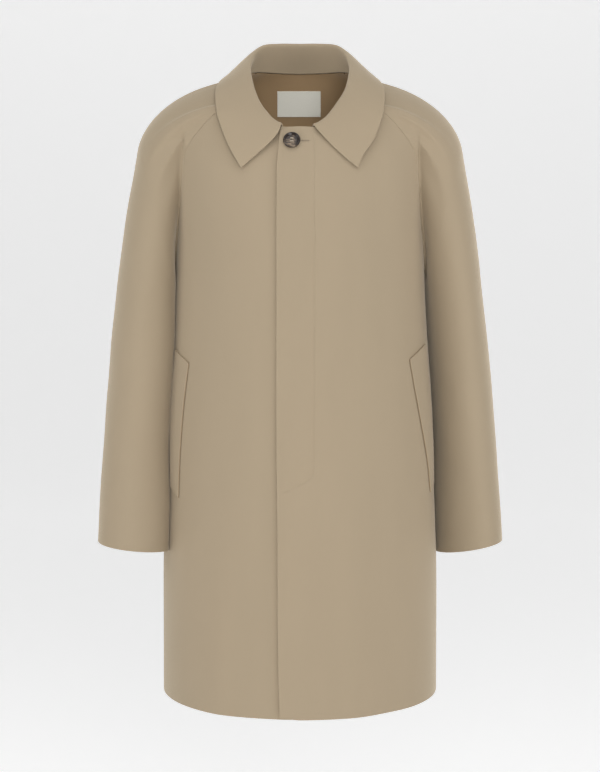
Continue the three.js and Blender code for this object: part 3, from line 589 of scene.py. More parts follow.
def body_side_normal(row, back):
    one = np.ones_like(row)
    made = normal_of(lambda u, v: body_surface(u, v, 1, back), row, one, (0, 2), (0, 1))
    return made * (-1 if back else 1)


def sleeve_edge_normal(step, degrees, back, rings):
    made = normal_of(lambda u, v: sleeve_point(u, v, back, rings), step, degrees, (0, SLEEVE_STEPS), (0, 180))
    return made * (-1 if back else 1)


def seam_normal(row, back, rings):
    """The normal that both cloths of a raglan seam end on."""
    degrees = (1 - row) * NECK_DEGREES
    a = body_side_normal(row, back)
    b = sleeve_edge_normal(np.zeros_like(row), degrees, back, rings)
    under = 0.8 * (1 - ease(0, 35, degrees))[..., None] * np.array([0, 0, -1])
    return unit(a + b + under)


def stations(length, step, fine_start=True, fine_end=True):
    """Places from 0 to 1 along a length in millimetres, closer by a rim."""
    count = max(2, round(length / step))
    even = np.linspace(0, length, count + 1)
    rim = 1.6 * RIM_STEPS[-1]
    made = [d for d in even if (not fine_start or d > rim) and (not fine_end or d < length - rim)]
    if fine_start:
        made += RIM_STEPS
    if fine_end:
        made += [length - d for d in RIM_STEPS]
    return np.array(sorted(set(made))) / length


def run_lengths(grid, axis):
    """Distance in millimetres along a grid's rows or columns from its first point."""
    steps = np.linalg.norm(np.diff(grid, axis=axis), axis=-1)
    zero = np.zeros_like(steps.take([0], axis=axis))
    return np.concatenate([zero, np.cumsum(steps, axis=axis)], axis=axis)


def grid_normals(grid, sign):
    return unit(np.cross(np.gradient(grid, axis=0), np.gradient(grid, axis=1))) * sign


def creased(x, z, table):
    """The height of the soft creases at x, z."""
    height = np.zeros(np.broadcast(x, z).shape)
    for x0, z0, x1, z1, half, tall in table:
        way = np.array([x1 - x0, z1 - z0], float)
        length = np.hypot(*way)
        way /= length
        along = ((x - x0) * way[0] + (z - z0) * way[1]) / length
        aside = (x - x0) * way[1] - (z - z0) * way[0]
        bow = half * 0.5 * np.sin(np.clip(along, 0, 1) * math.pi * 1.3 + tall * 9)
        ends = ease(-0.35, 0.3, along) * (1 - ease(0.7, 1.35, along))
        height += tall * ends * np.exp(-(((aside + bow) / half) ** 2))
    return height


def folded(x, z, table):
    """How deep the one-sided folds are at x, z."""
    depth = np.zeros(np.broadcast(x, z).shape)
    for x0, z0, x1, z1, reach, deep in table:
        along = (z - z0) / (z1 - z0)
        line = x0 + (x1 - x0) * along
        outside = (x - line) * math.copysign(1, x0)
        ends = ease(0, 0.75, along) * (1 - ease(1.0, 1.5, along))
        depth += deep * ends * ease(-0.9, 0.9, outside) * np.exp(-np.maximum(outside, 0) / reach)
    return depth


def uneven(place, seed, scale, count=9):
    """A smooth random height from -1 to 1 over places in millimetres, the same on each run."""
    random = np.random.default_rng(seed)
    total = np.zeros(place.shape[:-1])
    for _ in range(count):
        way = random.normal(size=3)
        way[2] *= 0.45
        wave = 2 * math.pi / (scale * random.uniform(0.6, 1.7))
        total += np.sin(place @ (way / np.linalg.norm(way)) * wave + random.uniform(0, 6.3))
    return total / math.sqrt(count * 2)


class Cloth:
    """A grid of points on a cloth's outer face, with the ways in which its four rims end.

    Each rim, named top, bottom, start or end, is "seam", where the cloth is sewn to its neighbour, or "free".
    """

    def __init__(self, grid, sign, rims, wall):
        self.grid = grid
        self.sign = sign
        self.rims = rims
        self.wall = wall
        self.measure()

    def measure(self):
        down, across = run_lengths(self.grid, 0), run_lengths(self.grid, 1)
        self.down, self.across = down, across
        self.away = {"top": down, "bottom": down[-1:] - down, "start": across, "end": across[:, -1:] - across}
        self.normals = grid_normals(self.grid, self.sign)

    def raise_by(self, height):
        self.grid = self.grid + self.normals * np.asarray(height)[..., None]
        self.measure()

    def off_seams(self, reach):
        """1 on the open cloth, falling to 0 at its seams."""
        mask = np.ones(self.grid.shape[:2])
        for rim, kind in self.rims.items():
            if kind == "seam":
                mask = mask * ease(0, reach, self.away[rim])
        return mask

    def pucker(self, height):
        """Small waves that sewing leaves beside a seam."""
        total = np.zeros(self.grid.shape[:2])
        for rim, kind in self.rims.items():
            if kind != "seam":
                continue
            run = self.down if rim in ("start", "end") else self.across
            waves = np.sin(run / 1.35 + 1.3 * np.sin(run / 6.1)) + 0.7 * np.sin(run / 2.3 + 2)
            away = self.away[rim]
            total += waves * np.exp(-((away / 5.5) ** 2)) * ease(0, 1.4, away)
        self.raise_by(total * height)

    def pull_in(self, rim, distance):
        """Draws a rim in from its neighbour."""
        edge, inside = (0, 1) if rim in ("top", "start") else (-1, -2)
        if rim in ("start", "end"):
            edge, inside = (slice(None), edge), (slice(None), inside)
        way = unit(self.grid[inside] - self.grid[edge])
        self.grid[edge] = self.grid[edge] + way * distance
        self.measure()

    def lean(self, rim, shared, reach=7):
        """Turns the normals near a rim to those that its neighbour shares."""
        weight = (1 - ease(0, reach, self.away[rim]))[..., None]
        shared = shared[None, :] if rim in ("top", "bottom") else shared[:, None]
        self.normals = unit(self.normals * (1 - weight) + shared * weight)

    def faces(self, extra=None):
        """The outer and inner faces, whose rims are rounded together."""
        dip = np.zeros(self.grid.shape[:2])
        for rim, kind in self.rims.items():
            radius = self.wall * (0.42 if kind == "seam" else 0.47)
            inside = np.clip(radius - self.away[rim], 0, radius)
            dip = np.maximum(dip, radius - np.sqrt(radius**2 - inside**2))
        depth = self.wall - dip
        if extra is not None:
            depth = depth + extra
        return self.grid - self.normals * dip[..., None], self.grid - self.normals * depth[..., None]

    def area(self):
        """The area of the cut in square metres."""
        a = np.diff(self.grid, axis=0)[:, :-1]
        b = np.diff(self.grid, axis=1)[:-1]
        return round(float(np.linalg.norm(np.cross(a, b), axis=-1).sum() * MM * MM), 4)


def mesh_object(name, places, faces, cut=None):
    """A smooth mesh object from points in millimetres and faces of one number of corners."""
    mesh = bpy.data.meshes.new(name)
    places = np.asarray(places, float) * MM
    faces = np.asarray(faces, int)
    corners = faces.shape[1]
    mesh.vertices.add(len(places))
    mesh.vertices.foreach_set("co", places.astype(np.float32).ravel())
    mesh.loops.add(faces.size)
    mesh.loops.foreach_set("vertex_index", faces.astype(np.int32).ravel())
    mesh.polygons.add(len(faces))
    mesh.polygons.foreach_set("loop_start", np.arange(0, faces.size, corners, dtype=np.int32))
    mesh.polygons.foreach_set("use_smooth", np.ones(len(faces), bool))
    mesh.update(calc_edges=True)
    mesh.validate()
    if cut is not None:
        attribute = mesh.attributes.new("cut", "FLOAT_VECTOR", "POINT")
        attribute.data.foreach_set("vector", (np.asarray(cut, float) * MM).astype(np.float32).ravel())
    made = bpy.data.objects.new(name, mesh)
    bpy.context.scene.collection.objects.link(made)
    return made


def grid_faces(rows, columns, first=0, wrap=False):
    """Quads of a grid of points numbered row by row; wrap joins the last column to the first."""
    i, j = np.meshgrid(np.arange(rows - 1), np.arange(columns if wrap else columns - 1), indexing="ij")
    k = (j + 1) % columns
    quads = (i * columns + j, i * columns + k, (i + 1) * columns + k, (i + 1) * columns + j)
    return first + np.stack([q.ravel() for q in quads], -1)


def shell_object(name, outer, inner, cut):
    """A closed cloth between an outer and an inner grid."""
    rows, columns = outer.shape[:2]
    count = rows * columns
    index = np.arange(count).reshape(rows, columns)
    rim = np.concatenate([index[0, :-1], index[:-1, -1], index[-1, :0:-1], index[:0:-1, 0]])
    after = np.roll(rim, -1)
    band = np.stack([rim, rim + count, after + count, after], -1)
    quads = np.concatenate([grid_faces(rows, columns), grid_faces(rows, columns, count)[:, ::-1], band])
    places = np.concatenate([outer.reshape(-1, 3), inner.reshape(-1, 3)])
    a, b, c, d = (places[quads[:, k]] for k in range(4))
    volume = (np.cross(b, c) * a).sum() + (np.cross(c, d) * a).sum()
    if volume < 0:
        quads = quads[:, ::-1]
    cut = cut.reshape(-1, 3)
    return mesh_object(name, places, quads, np.concatenate([cut, cut + (0, 0, INSIDE)]))


def piece_of(made, node, finish):
    """Seats a piece on the coat in place of its plain solid."""
    made.data.materials.clear()
    made.data.materials.append(finish)
    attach(made, BODY_NAME)
    if node:
        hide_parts(node)
    return made


# Each piece's cut, as the width and length of the cloth that it is cut from, in metres.
FLAT_SIZES = {
    "front_left": (0.33, 0.88),
    "front_right": (0.33, 0.88),
    "back": (0.575, 0.93),
    "sleeve_right_front": (0.245, 0.79),
    "sleeve_right_back": (0.24, 0.79),
    "sleeve_left_front": (0.245, 0.79),
    "sleeve_left_back": (0.24, 0.79),
    "collar": (0.53, 0.12),
    "pocket_welt_right": (0.056, 0.215),
    "pocket_welt_left": (0.056, 0.215),
    "label": (0.066, 0.039),
}


def cloth_object(name, cloth, node, finish, extra=None):
    outer, inner = cloth.faces(extra)
    cut = points(cloth.across, cloth.down, 0)
    made = piece_of(shell_object(name, outer, inner, cut), node, finish)
    flat = FLAT_SIZES[node]
    area = min(cloth.area(), flat[0] * flat[1])
    return made


def rows_by(upper, step):
    """Rows from the neck (0) over the underarm (1) to the hem (2)."""
    top = stations(upper, step, True, False)
    low = 1 + stations(LOWER_LENGTH, step, False, True)
    return np.concatenate([top, low[1:]])


def front_cloth(sign, edge, shift, hem_kick):
    """A front, from its edge past the middle to its side."""
    settings = bpy.context.scene.coat_cloth
    step = settings.grid_step / MM
    rows = rows_by(UPPER_LENGTH, step)
    columns = stations(300, step)

    def past(share):
        made = body_point(rows, share, False)
        return made[..., 0] < -edge(made[..., 2])

    start = solve(past, -0.6, 0, rows.shape)
    share = start[:, None] + (1 - start[:, None]) * columns[None, :]
    grid = body_surface(rows[:, None], share, sign, False, shift)
    grid[..., 2] += hem_kick(grid[..., 0]) * ease(1.9, 2, rows)[:, None]
    cloth = Cloth(grid, sign, FRONT_RIMS, settings.wall / MM)
    x, z = grid[..., 0], grid[..., 2]
    height = creased(x, z, FRONT_CREASES) * settings.crease_height
    height += uneven(grid, 11, 120) * settings.unevenness / MM
    from_edge = cloth.away["start"] + (5 if sign > 0 else 0)
    cloth.raise_by(height * cloth.off_seams(28) * ease(0, 14, from_edge))
    if sign > 0:
        cloth.raise_by(EDGE_LIFT * (1 - ease(0, 7, cloth.away["start"])) * ease(0, 10, cloth.away["top"]))
    return rows, cloth


def finish_sides(cloth, rows, sign, back, rim):
    """Ends a body panel on the faces that its neighbours share."""
    upper = seam_normal(np.minimum(rows, 1), back, rings_of(sign))
    lower = unit(body_side_normal(rows, False) + body_side_normal(rows, True))
    shared = np.where((rows <= 1)[:, None], upper, lower)
    cloth.lean(rim, mirrored(shared, sign))


def hem_extra(cloth, rim, deep=38, thick=0.7):
    """The turned-up hem, which thickens a cloth inwards."""
    return thick * (1 - ease(deep - 1.2, deep + 1.2, cloth.away[rim]))


def front_edge(z):
    return read(FRONT_EDGE, -z)[..., 0]


class Value:
    """A socket that takes part in Python expressions, each of which adds its Math node."""

    def __init__(self, finish, socket):
        self.finish = finish
        self.socket = socket

    def math(self, operation, *terms):
        node = self.finish.node("ShaderNodeMath", {"operation": operation}, dict(enumerate(terms)))
        return Value(self.finish, node.outputs[0])

    def __add__(self, other):
        return self.math("ADD", self, other)

    def __sub__(self, other):
        return self.math("SUBTRACT", self, other)

    def __rsub__(self, other):
        return self.math("SUBTRACT", other, self)

    def __mul__(self, other):
        return self.math("MULTIPLY", self, other)

    def __truediv__(self, other):
        return self.math("DIVIDE", self, other)

    def sine(self):
        return self.math("SINE", self)

    def clamped(self):
        return self.math("MINIMUM", self.math("MAXIMUM", self, 0.0), 1.0)

    __radd__ = __add__
    __rmul__ = __mul__


class Finish:
    """A material being made from nodes."""

    def __init__(self, name, **uniform):
        self.material = bpy.data.materials.new(name)
        self.material.use_nodes = True
        self.tree = self.material.node_tree
        self.tree.nodes.clear()
        self.shader = self.node("ShaderNodeBsdfPrincipled", {}, {})
        output = self.node("ShaderNodeOutputMaterial", {}, {"Surface": self.shader.outputs[0]})
        output.is_active_output = True
        for socket, value in uniform.items():
            self.shader.inputs[socket.replace("_", " ")].default_value = value

    def node(self, kind, settings, sockets):
        """A node with its settings made first, then its sockets' values or links."""
        node = self.tree.nodes.new(kind)
        for key, value in settings.items():
            if key == "stops":
                ramp = node.color_ramp
                for place, colour in value[len(ramp.elements) :]:
                    ramp.elements.new(place)
                for element, (place, colour) in zip(ramp.elements, value):
                    element.position = place
                    element.color = (*colour, 1)
            else:
                setattr(node, key, value)
        for key, value in sockets.items():
            if isinstance(value, Value):
                value = value.socket
            if isinstance(value, bpy.types.NodeSocket):
                self.tree.links.new(value, node.inputs[key])
            else:
                node.inputs[key].default_value = value
        return node

    def out(self, kind, settings, sockets, output=0):
        return Value(self, self.node(kind, settings, sockets).outputs[output])

    def mix(self, factor, first, second, blend="MIX"):
        """A colour between two, each a colour of four numbers or a socket."""
        settings = {"data_type": "RGBA", "blend_type": blend}
        return self.out("ShaderNodeMix", settings, {0: factor, 6: first, 7: second}, 2)

    def noise(self, where, scale, detail=2.0, roughness=0.5, distortion=0.0):
        sockets = {"Vector": where, "Scale": scale, "Detail": detail}
        sockets.update(Roughness=roughness, Distortion=distortion)
        return self.out("ShaderNodeTexNoise", {}, sockets)

    def feed(self, **sockets):
        for name, value in sockets.items():
            self.tree.links.new(value.socket, self.shader.inputs[name.replace("_", " ")])
        return self.material

    def bump(self, height, strength):
        return self.out("ShaderNodeBump", {}, {"Height": height, "Distance": 1.0, "Strength": strength})

    def object_place(self):
        return self.node("ShaderNodeTexCoord", {}, {}).outputs["Object"]

    def axes(self, vector):
        parts = self.node("ShaderNodeSeparateXYZ", {}, {"Vector": vector})
        return [Value(self, parts.outputs[axis]) for axis in "XYZ"]

    def cut(self):
        """The place on the cut, laid flat, and its three numbers: across, down, and 1 inside the coat."""
        attribute = {"attribute_type": "GEOMETRY", "attribute_name": "cut"}
        place = Value(self, self.node("ShaderNodeAttribute", attribute, {}).outputs["Vector"])
        return place, *self.axes(place)

    def moved(self, vector, **sockets):
        return self.out("ShaderNodeMapping", {"vector_type": "POINT"}, {"Vector": vector, **sockets})

    def tinted(self, colour, light):
        """A colour made lighter or darker."""
        grey = self.out("ShaderNodeCombineColor", {}, {"Red": light, "Green": light, "Blue": light})
        return self.mix(1.0, colour, grey, "MULTIPLY")


def rgba(colour):
    """A colour that a user picks, as the four numbers of a node socket."""
    return (*colour[:3], 1.0)


def shaded(colour, times):
    return (*(channel * times for channel in colour[:3]), 1.0)


def gabardine(name, colour, inside, weave, seed=0.0):
    """Closely woven cotton with a steep twill line, a faint sheen and soft uneven dye."""
    settings = bpy.context.scene.coat_cloth
    nap = {"Sheen_Weight": settings.sheen, "Sheen_Roughness": 0.45, "Sheen_Tint": (1.0, 0.88, 0.7, 1)}
    finish = Finish(name, Specular_IOR_Level=0.28, **nap)
    where, across, down, inner = finish.cut()
    turn = 2 * math.pi / weave
    twill = ((across + down * 0.55) * turn).sine()
    yarn = (across * (turn * 1.9)).sine() * 0.5 + (down * (turn * 1.35)).sine() * 0.5
    height = twill * 0.6 + yarn * 0.4
    tall = finish.moved(finish.object_place(), Location=(seed, seed * 0.7, 0), Scale=(1, 1, 0.22))
    dye = finish.noise(tall, 26.0, 3.0, 0.55)
    cloud = finish.noise(tall, 7.0)
    slub = finish.noise(finish.moved(where, Scale=(1, 0.08, 1)), 900.0, 2.0, 0.6)
    light = 1.0 + (dye - 0.5) * 0.05 + (cloud - 0.5) * 0.07 + (slub - 0.5) * 0.05 + height * 0.018
    warmer = (colour[0], colour[1] * 0.975, colour[2] * 0.985, 1)
    outer = finish.mix((cloud * 2.4 - 0.7).clamped() * 0.35, rgba(colour), warmer)
    tinted = finish.tinted(finish.mix(inner.clamped(), outer, rgba(inside)), light)
    surface = height * 0.00003 + (slub - 0.5) * 0.00006
    rough = 0.82 + (slub - 0.5) * 0.08 + (cloud - 0.5) * 0.06
    return finish.feed(Base_Color=tinted, Roughness=rough, Normal=finish.bump(surface, 0.55))


def label_finish(name, colour):
    """A smooth woven label with a fine rib."""
    finish = Finish(name, Sheen_Weight=0.1, Specular_IOR_Level=0.35)
    where, across, down, _ = finish.cut()
    rib = (down * (2 * math.pi / 0.0005)).sine()
    thread = (across * (2 * math.pi / 0.00035)).sine()
    slub = finish.noise(where, 420.0)
    tinted = finish.tinted(rgba(colour), 1.0 + rib * 0.02 + thread * 0.01 + (slub - 0.5) * 0.06)
    surface = rib * 0.00003 + thread * 0.00001
    return finish.feed(Base_Color=tinted, Roughness=0.62 + slub * 0.1, Normal=finish.bump(surface, 0.6))


def horn_finish(name, dark, light, middle, radius):
    """Polished horn, marbled along its grain, with a painted highlight: paler low on the left and dark at its
    rim.
    """
    finish = Finish(name, Coat_Weight=0.18, Coat_Roughness=0.1, Specular_IOR_Level=0.35)
    place = finish.object_place()
    grain = finish.moved(place, Rotation=(0, 0.7, 0), Scale=(1, 1, 2.6))
    marble = finish.noise(grain, 70.0, 3.0, 0.6, 1.2)
    fleck = finish.noise(place, 420.0, 3.0, 0.6, 0.4)
    across, _, up = finish.axes(place)
    # Painted highlight: a round pale patch low on the left of the middle, falling off to dark toward the rim.
    aside, above = (across - middle[0]) / radius + 0.25, (up - middle[1]) / radius + 0.3
    painted_highlight = 1.0 - (aside * aside + above * above) * 1.1
    stops = (
        # place on the ramp, colour
        (0.36, shaded(dark, 0.6)[:3]),
        (0.52, tuple(dark[:3])),
        (0.66, tuple(light[:3])),
        (0.8, shaded(light, 2.0)[:3]),
    )
    share = marble * 0.75 + fleck * 0.15 + painted_highlight.clamped() * 0.17
    base = finish.out("ShaderNodeValToRGB", {"stops": stops}, {"Fac": share})
    rough = 0.22 + (fleck - 0.5) * 0.12
    return finish.feed(Base_Color=base, Roughness=rough, Normal=finish.bump(fleck * 0.00004, 0.4))


def thread_finish(name, colour):
    """Twisted sewing thread."""
    finish = Finish(name, Sheen_Weight=0.2, Specular_IOR_Level=0.35)
    across, _, up = finish.axes(finish.object_place())
    twist = ((across + up) * (2 * math.pi / 0.0006)).sine()
    tinted = finish.tinted(rgba(colour), 1.0 + twist * 0.08)
    relief = finish.bump(twist * 0.00004, 0.5)
    return finish.feed(Base_Color=tinted, Roughness=0.7 + twist * 0.04, Normal=relief)


def finish_called(name):
    """A finish of the coat, made the first time that it is asked for."""
    if name in bpy.data.materials:
        return bpy.data.materials[name]
    cloth, trim = bpy.context.scene.coat_cloth, bpy.context.scene.coat_trim
    middle = (BUTTON_X * MM, BUTTON_Z * MM)
    collar, seed = cloth.collar_colour, 3.1
    recipes = {
        "coat_gabardine": lambda: gabardine(name, cloth.colour, cloth.inside_colour, cloth.weave),
        "collar_gabardine": lambda: gabardine(name, collar, collar, cloth.weave, seed),
        "label_weave": lambda: label_finish(name, trim.label_colour),
        "button_horn": lambda: horn_finish(name, trim.horn_dark, trim.horn_light, middle, trim.button_radius),
        "coat_thread": lambda: thread_finish(name, shaded(cloth.colour, 1.12)),
        "buttonhole_thread": lambda: thread_finish(name, shaded(cloth.colour, 0.72)),
        "button_thread": lambda: thread_finish(name, trim.thread_colour),
        "label_thread": lambda: thread_finish(name, shaded(trim.label_colour, 0.94)),
    }
    return recipes[name]()


def tube(path, radii, sides=6, up=(0, 0, 1)):
    """Points and quads of a tube of changing radius, closed at both ends by its own last rings."""
    path = np.asarray(path, float)
    way = unit(np.gradient(path, axis=0))
    side = unit(np.cross(way, np.asarray(up, float)))
    lift = np.cross(side, way)
    angle = np.arange(sides) * 2 * math.pi / sides
    radii = np.asarray(radii, float)
    if radii.ndim == 1:
        radii = np.stack([radii, radii], -1)
    ring = (
        side[:, None] * (np.cos(angle)[None, :, None] * radii[:, :1, None])
        + lift[:, None] * (np.sin(angle)[None, :, None] * radii[:, 1:, None])
    )
    return (path[:, None] + ring).reshape(-1, 3), grid_faces(len(path), sides, 0, True)


def capped(places, quads, rings, sides):
    """A tube with a point at each end, all in triangles."""
    places = np.concatenate([places, [places[:sides].mean(0)], [places[-sides:].mean(0)]])
    first, last = rings * sides, rings * sides + 1
    k = np.arange(sides)
    after = (k + 1) % sides
    start = np.stack([after, k, np.full(sides, first)], -1)
    base = (rings - 1) * sides
    end = np.stack([base + k, base + after, np.full(sides, last)], -1)
    triangles = np.concatenate([quads[:, [0, 1, 2]], quads[:, [0, 2, 3]], start, end])
    a, b, c = (places[triangles[:, k]] for k in range(3))
    if (np.cross(b, c) * a).sum() < 0:
        triangles = triangles[:, ::-1]
    return places, triangles


def joined(parts):
    """Several meshes of triangles as one."""
    places, faces, first = [], [], 0
    for some_places, some_faces in parts:
        places.append(some_places)
        faces.append(some_faces + first)
        first += len(some_places)
    return np.concatenate(places), np.concatenate(faces)


def stitch(start, end, normal, radius, sunk):
    """One machine stitch: a short thread that dives at both ends."""
    share = np.array([0, 0.1, 0.28, 0.5, 0.72, 0.9, 1])
    rise = np.sin(share * math.pi) ** 0.6 * (radius * 0.9 + sunk) - sunk
    path = start + (end - start) * share[:, None] + normal * rise[:, None]
    thin = radius * np.array([0.55, 0.85, 1, 1, 1, 0.85, 0.55])
    places, quads = tube(path, thin, 6, normal)
    return capped(places, quads, len(share), 6)


def stitch_run(path, normals, pitch, length, radius, sunk=0.1):
    """Stitches along a path in millimetres."""
    path, normals = np.asarray(path, float), np.asarray(normals, float)
    run = np.concatenate([[0], np.cumsum(np.linalg.norm(np.diff(path, axis=0), axis=-1))])
    parts = []
    for at in np.arange(pitch * 0.5, run[-1] - length, pitch):
        ends = [np.array([np.interp(s, run, path[:, k]) for k in range(3)]) for s in (at, at + length)]
        normal = unit(np.array([np.interp(at, run, normals[:, k]) for k in range(3)]))
        parts.append(stitch(ends[0], ends[1], normal, radius, sunk))
    return joined(parts)


def on_front(x, z):
    """Places on the made top front's outer face at x and z, with their normals."""
    grid, normals = MADE["front_left"].grid, MADE["front_left"].normals
    flat = grid[..., [0, 2]].reshape(-1, 2)
    places, ways = [], []
    for one_x, one_z in zip(np.atleast_1d(x), np.atleast_1d(z)):
        gap = ((flat - (one_x, one_z)) ** 2).sum(-1)
        near = np.argsort(gap)[:4]
        weight = 1 / (gap[near] + 1e-3)
        weight /= weight.sum()
        spot = (grid.reshape(-1, 3)[near] * weight[:, None]).sum(0)
        way = unit((normals.reshape(-1, 3)[near] * weight[:, None]).sum(0))
        # Slide to the exact x and z on the plane of the nearest points.
        shift = np.array([one_x - spot[0], 0, one_z - spot[2]])
        shift[1] = -(way[0] * shift[0] + way[2] * shift[2]) / way[1]
        places.append(spot + shift)
        ways.append(way)
    return np.array(places), np.array(ways)


def colour_value(name, about, default):
    return bpy.props.FloatVectorProperty(
        name=name, description=about, default=default, subtype="COLOR", size=3, min=0, max=1
    )


def unit_value(unit, **more):
    """A function that makes a setting with a unit from its name, its description and its default."""
    return lambda name, about, default: bpy.props.FloatProperty(
        name=name, description=about, default=default, unit=unit, **more
    )


length_value = unit_value("LENGTH")
power_value = unit_value("POWER", min=0)
lens_value = unit_value("CAMERA")
angle_value = unit_value("ROTATION", subtype="ANGLE")
plain_value = unit_value("NONE", min=0)


class CoatClothSettings(bpy.types.PropertyGroup):
    colour: colour_value("Cloth", "Colour of the coat's cloth", (0.334, 0.267, 0.181))
    collar_colour: colour_value("Collar", "Colour of the collar's cloth", (0.34, 0.27, 0.183))
    inside_colour: colour_value("Inside", "Colour of the cloth's inner face", (0.385, 0.26, 0.14))
    weave: length_value("Twill Pitch", "Distance between two twill lines", 0.0007)
    sheen: plain_value("Sheen", "Strength of the cloth's faint nap", 0.5)
    wall: length_value("Wall", "Thickness of the cloth with its inside layer", 0.0016)
    collar_wall: length_value("Collar Wall", "Thickness of the collar", 0.0024)
    welt_wall: length_value("Welt Wall", "Thickness of a pocket welt", 0.002)
    seam_gap: length_value("Seam", "How far each cloth's edge is drawn in at a seam", 0.00006)
    grid_step: length_value("Grid", "Distance between the rows of points in the cloth", 0.0036)
    crease_height: plain_value("Creases", "Height of the soft creases against the usual one", 1.0)
    unevenness: length_value("Unevenness", "Height of the cloth's gentle waves", 0.00045)
    pucker: length_value("Pucker", "Height of the small waves beside a seam", 0.00009)


class CoatTrimSettings(bpy.types.PropertyGroup):
    horn_dark: colour_value("Dark Horn", "The button's dark colour", (0.016, 0.009, 0.006))
    horn_light: colour_value("Light Horn", "The button's light marbling", (0.21, 0.15, 0.095))
    thread_colour: colour_value("Button Thread", "Colour of the thread in the button", (0.55, 0.47, 0.36))
    label_colour: colour_value("Label", "Colour of the bare neck label", (0.94, 0.93, 0.83))
    button_radius: length_value("Button Radius", "Radius of the button", 0.0122)
    button_thick: length_value("Button Thickness", "Thickness of the button", 0.004)
    label_thick: length_value("Label Thickness", "Thickness of the neck label", 0.0008)
    stitch_pitch: length_value("Stitch Pitch", "Distance from one stitch to the next", 0.0032)
    stitch_radius: length_value("Stitch Radius", "Radius of the sewing thread", 0.00022)


class CoatStudioSettings(bpy.types.PropertyGroup):
    floor_drop: length_value("Floor", "Height of the floor", -1.45)
    backdrop: colour_value("Backdrop", "Colour of the floor and backdrop", (0.93, 0.93, 0.93))
    backdrop_glow: plain_value(
        "Backdrop Glow", "How brightly the backdrop is lit through from behind", 0.44,
    )
    room_light: plain_value("Room Light", "Strength of the even light all round", 0.24)
    key_power: power_value("Key", "Power of the main softbox", 36.0)
    fill_power: power_value("Fill", "Power of the softbox on the other side", 33.0)
    front_power: power_value("Front", "Power of the softbox beside the camera", 53.0)
    top_power: power_value("Top", "Power of the softbox overhead", 24.0)
    lens: lens_value("Lens", "Focal length of the camera", 95.69)
    camera_distance: length_value("Camera Distance", "How far the camera stands in front of the neck", 3.0)
    camera_height: length_value("Camera Height", "Height of the camera", -0.0719)
    camera_tilt: angle_value("Camera Tilt", "How far the camera looks down", math.radians(7))


class COAT_OT_fronts(bpy.types.Operator):
    """Make the two fronts, the left one over the right"""

    bl_idname = "coat.fronts"
    bl_label = "Fronts"

    def execute(self, context):
        settings = context.scene.coat_cloth
        cloth_finish = finish_called("coat_gabardine")
        table = (
            # name, side, edge, shift in the overlap, kick at the hem
            ("front_left", 1, front_edge, top_shift, lambda x: 3 * ease(0, -30, x)),
            ("front_right", -1, lambda z: UNDER_EDGE, under_shift, lambda x: 0 * x),
        )
        for name, sign, edge, shift, kick in table:
            rows, cloth = front_cloth(sign, edge, shift, kick)
            cloth.pucker(settings.pucker / MM)
            cloth.pull_in("end", settings.seam_gap / MM)
            finish_sides(cloth, rows, sign, False, "end")
            MADE[name] = cloth
            hem = hem_extra(cloth, "bottom")
            cloth_object(name + "_cloth", cloth, name, cloth_finish, extra=hem)
        return {"FINISHED"}


class COAT_OT_back(bpy.types.Operator):
    """Make the back in one piece"""

    bl_idname = "coat.back"
    bl_label = "Back"

    def execute(self, context):
        settings = context.scene.coat_cloth
        rows = rows_by(UPPER_LENGTH_BACK, settings.grid_step / MM)
        columns = stations(560, settings.grid_step / MM) * 2 - 1
        sign = np.where(columns < 0, -1, 1)
        share = np.broadcast_to(np.abs(columns), (len(rows), len(columns)))
        right = body_surface(rows[:, None], share, 1, True)
        grid = np.where((sign > 0)[None, :, None], right, body_surface(rows[:, None], share, -1, True))
        cloth = Cloth(grid, -1, PANEL_RIMS, settings.wall / MM)
        height = creased(grid[..., 0], grid[..., 2], BACK_CREASES) * settings.crease_height
        height += uneven(grid, 12, 130) * settings.unevenness / MM
        cloth.raise_by(height * cloth.off_seams(28))
        cloth.pucker(settings.pucker / MM)
        for rim in ("start", "end"):
            cloth.pull_in(rim, settings.seam_gap / MM)
        for rim, side in (("start", -1), ("end", 1)):
            finish_sides(cloth, rows, side, True, rim)
        MADE["back"] = cloth
        cloth_object(
            "back_cloth", cloth, "back", finish_called("coat_gabardine"), extra=hem_extra(cloth, "bottom"),
        )
        return {"FINISHED"}


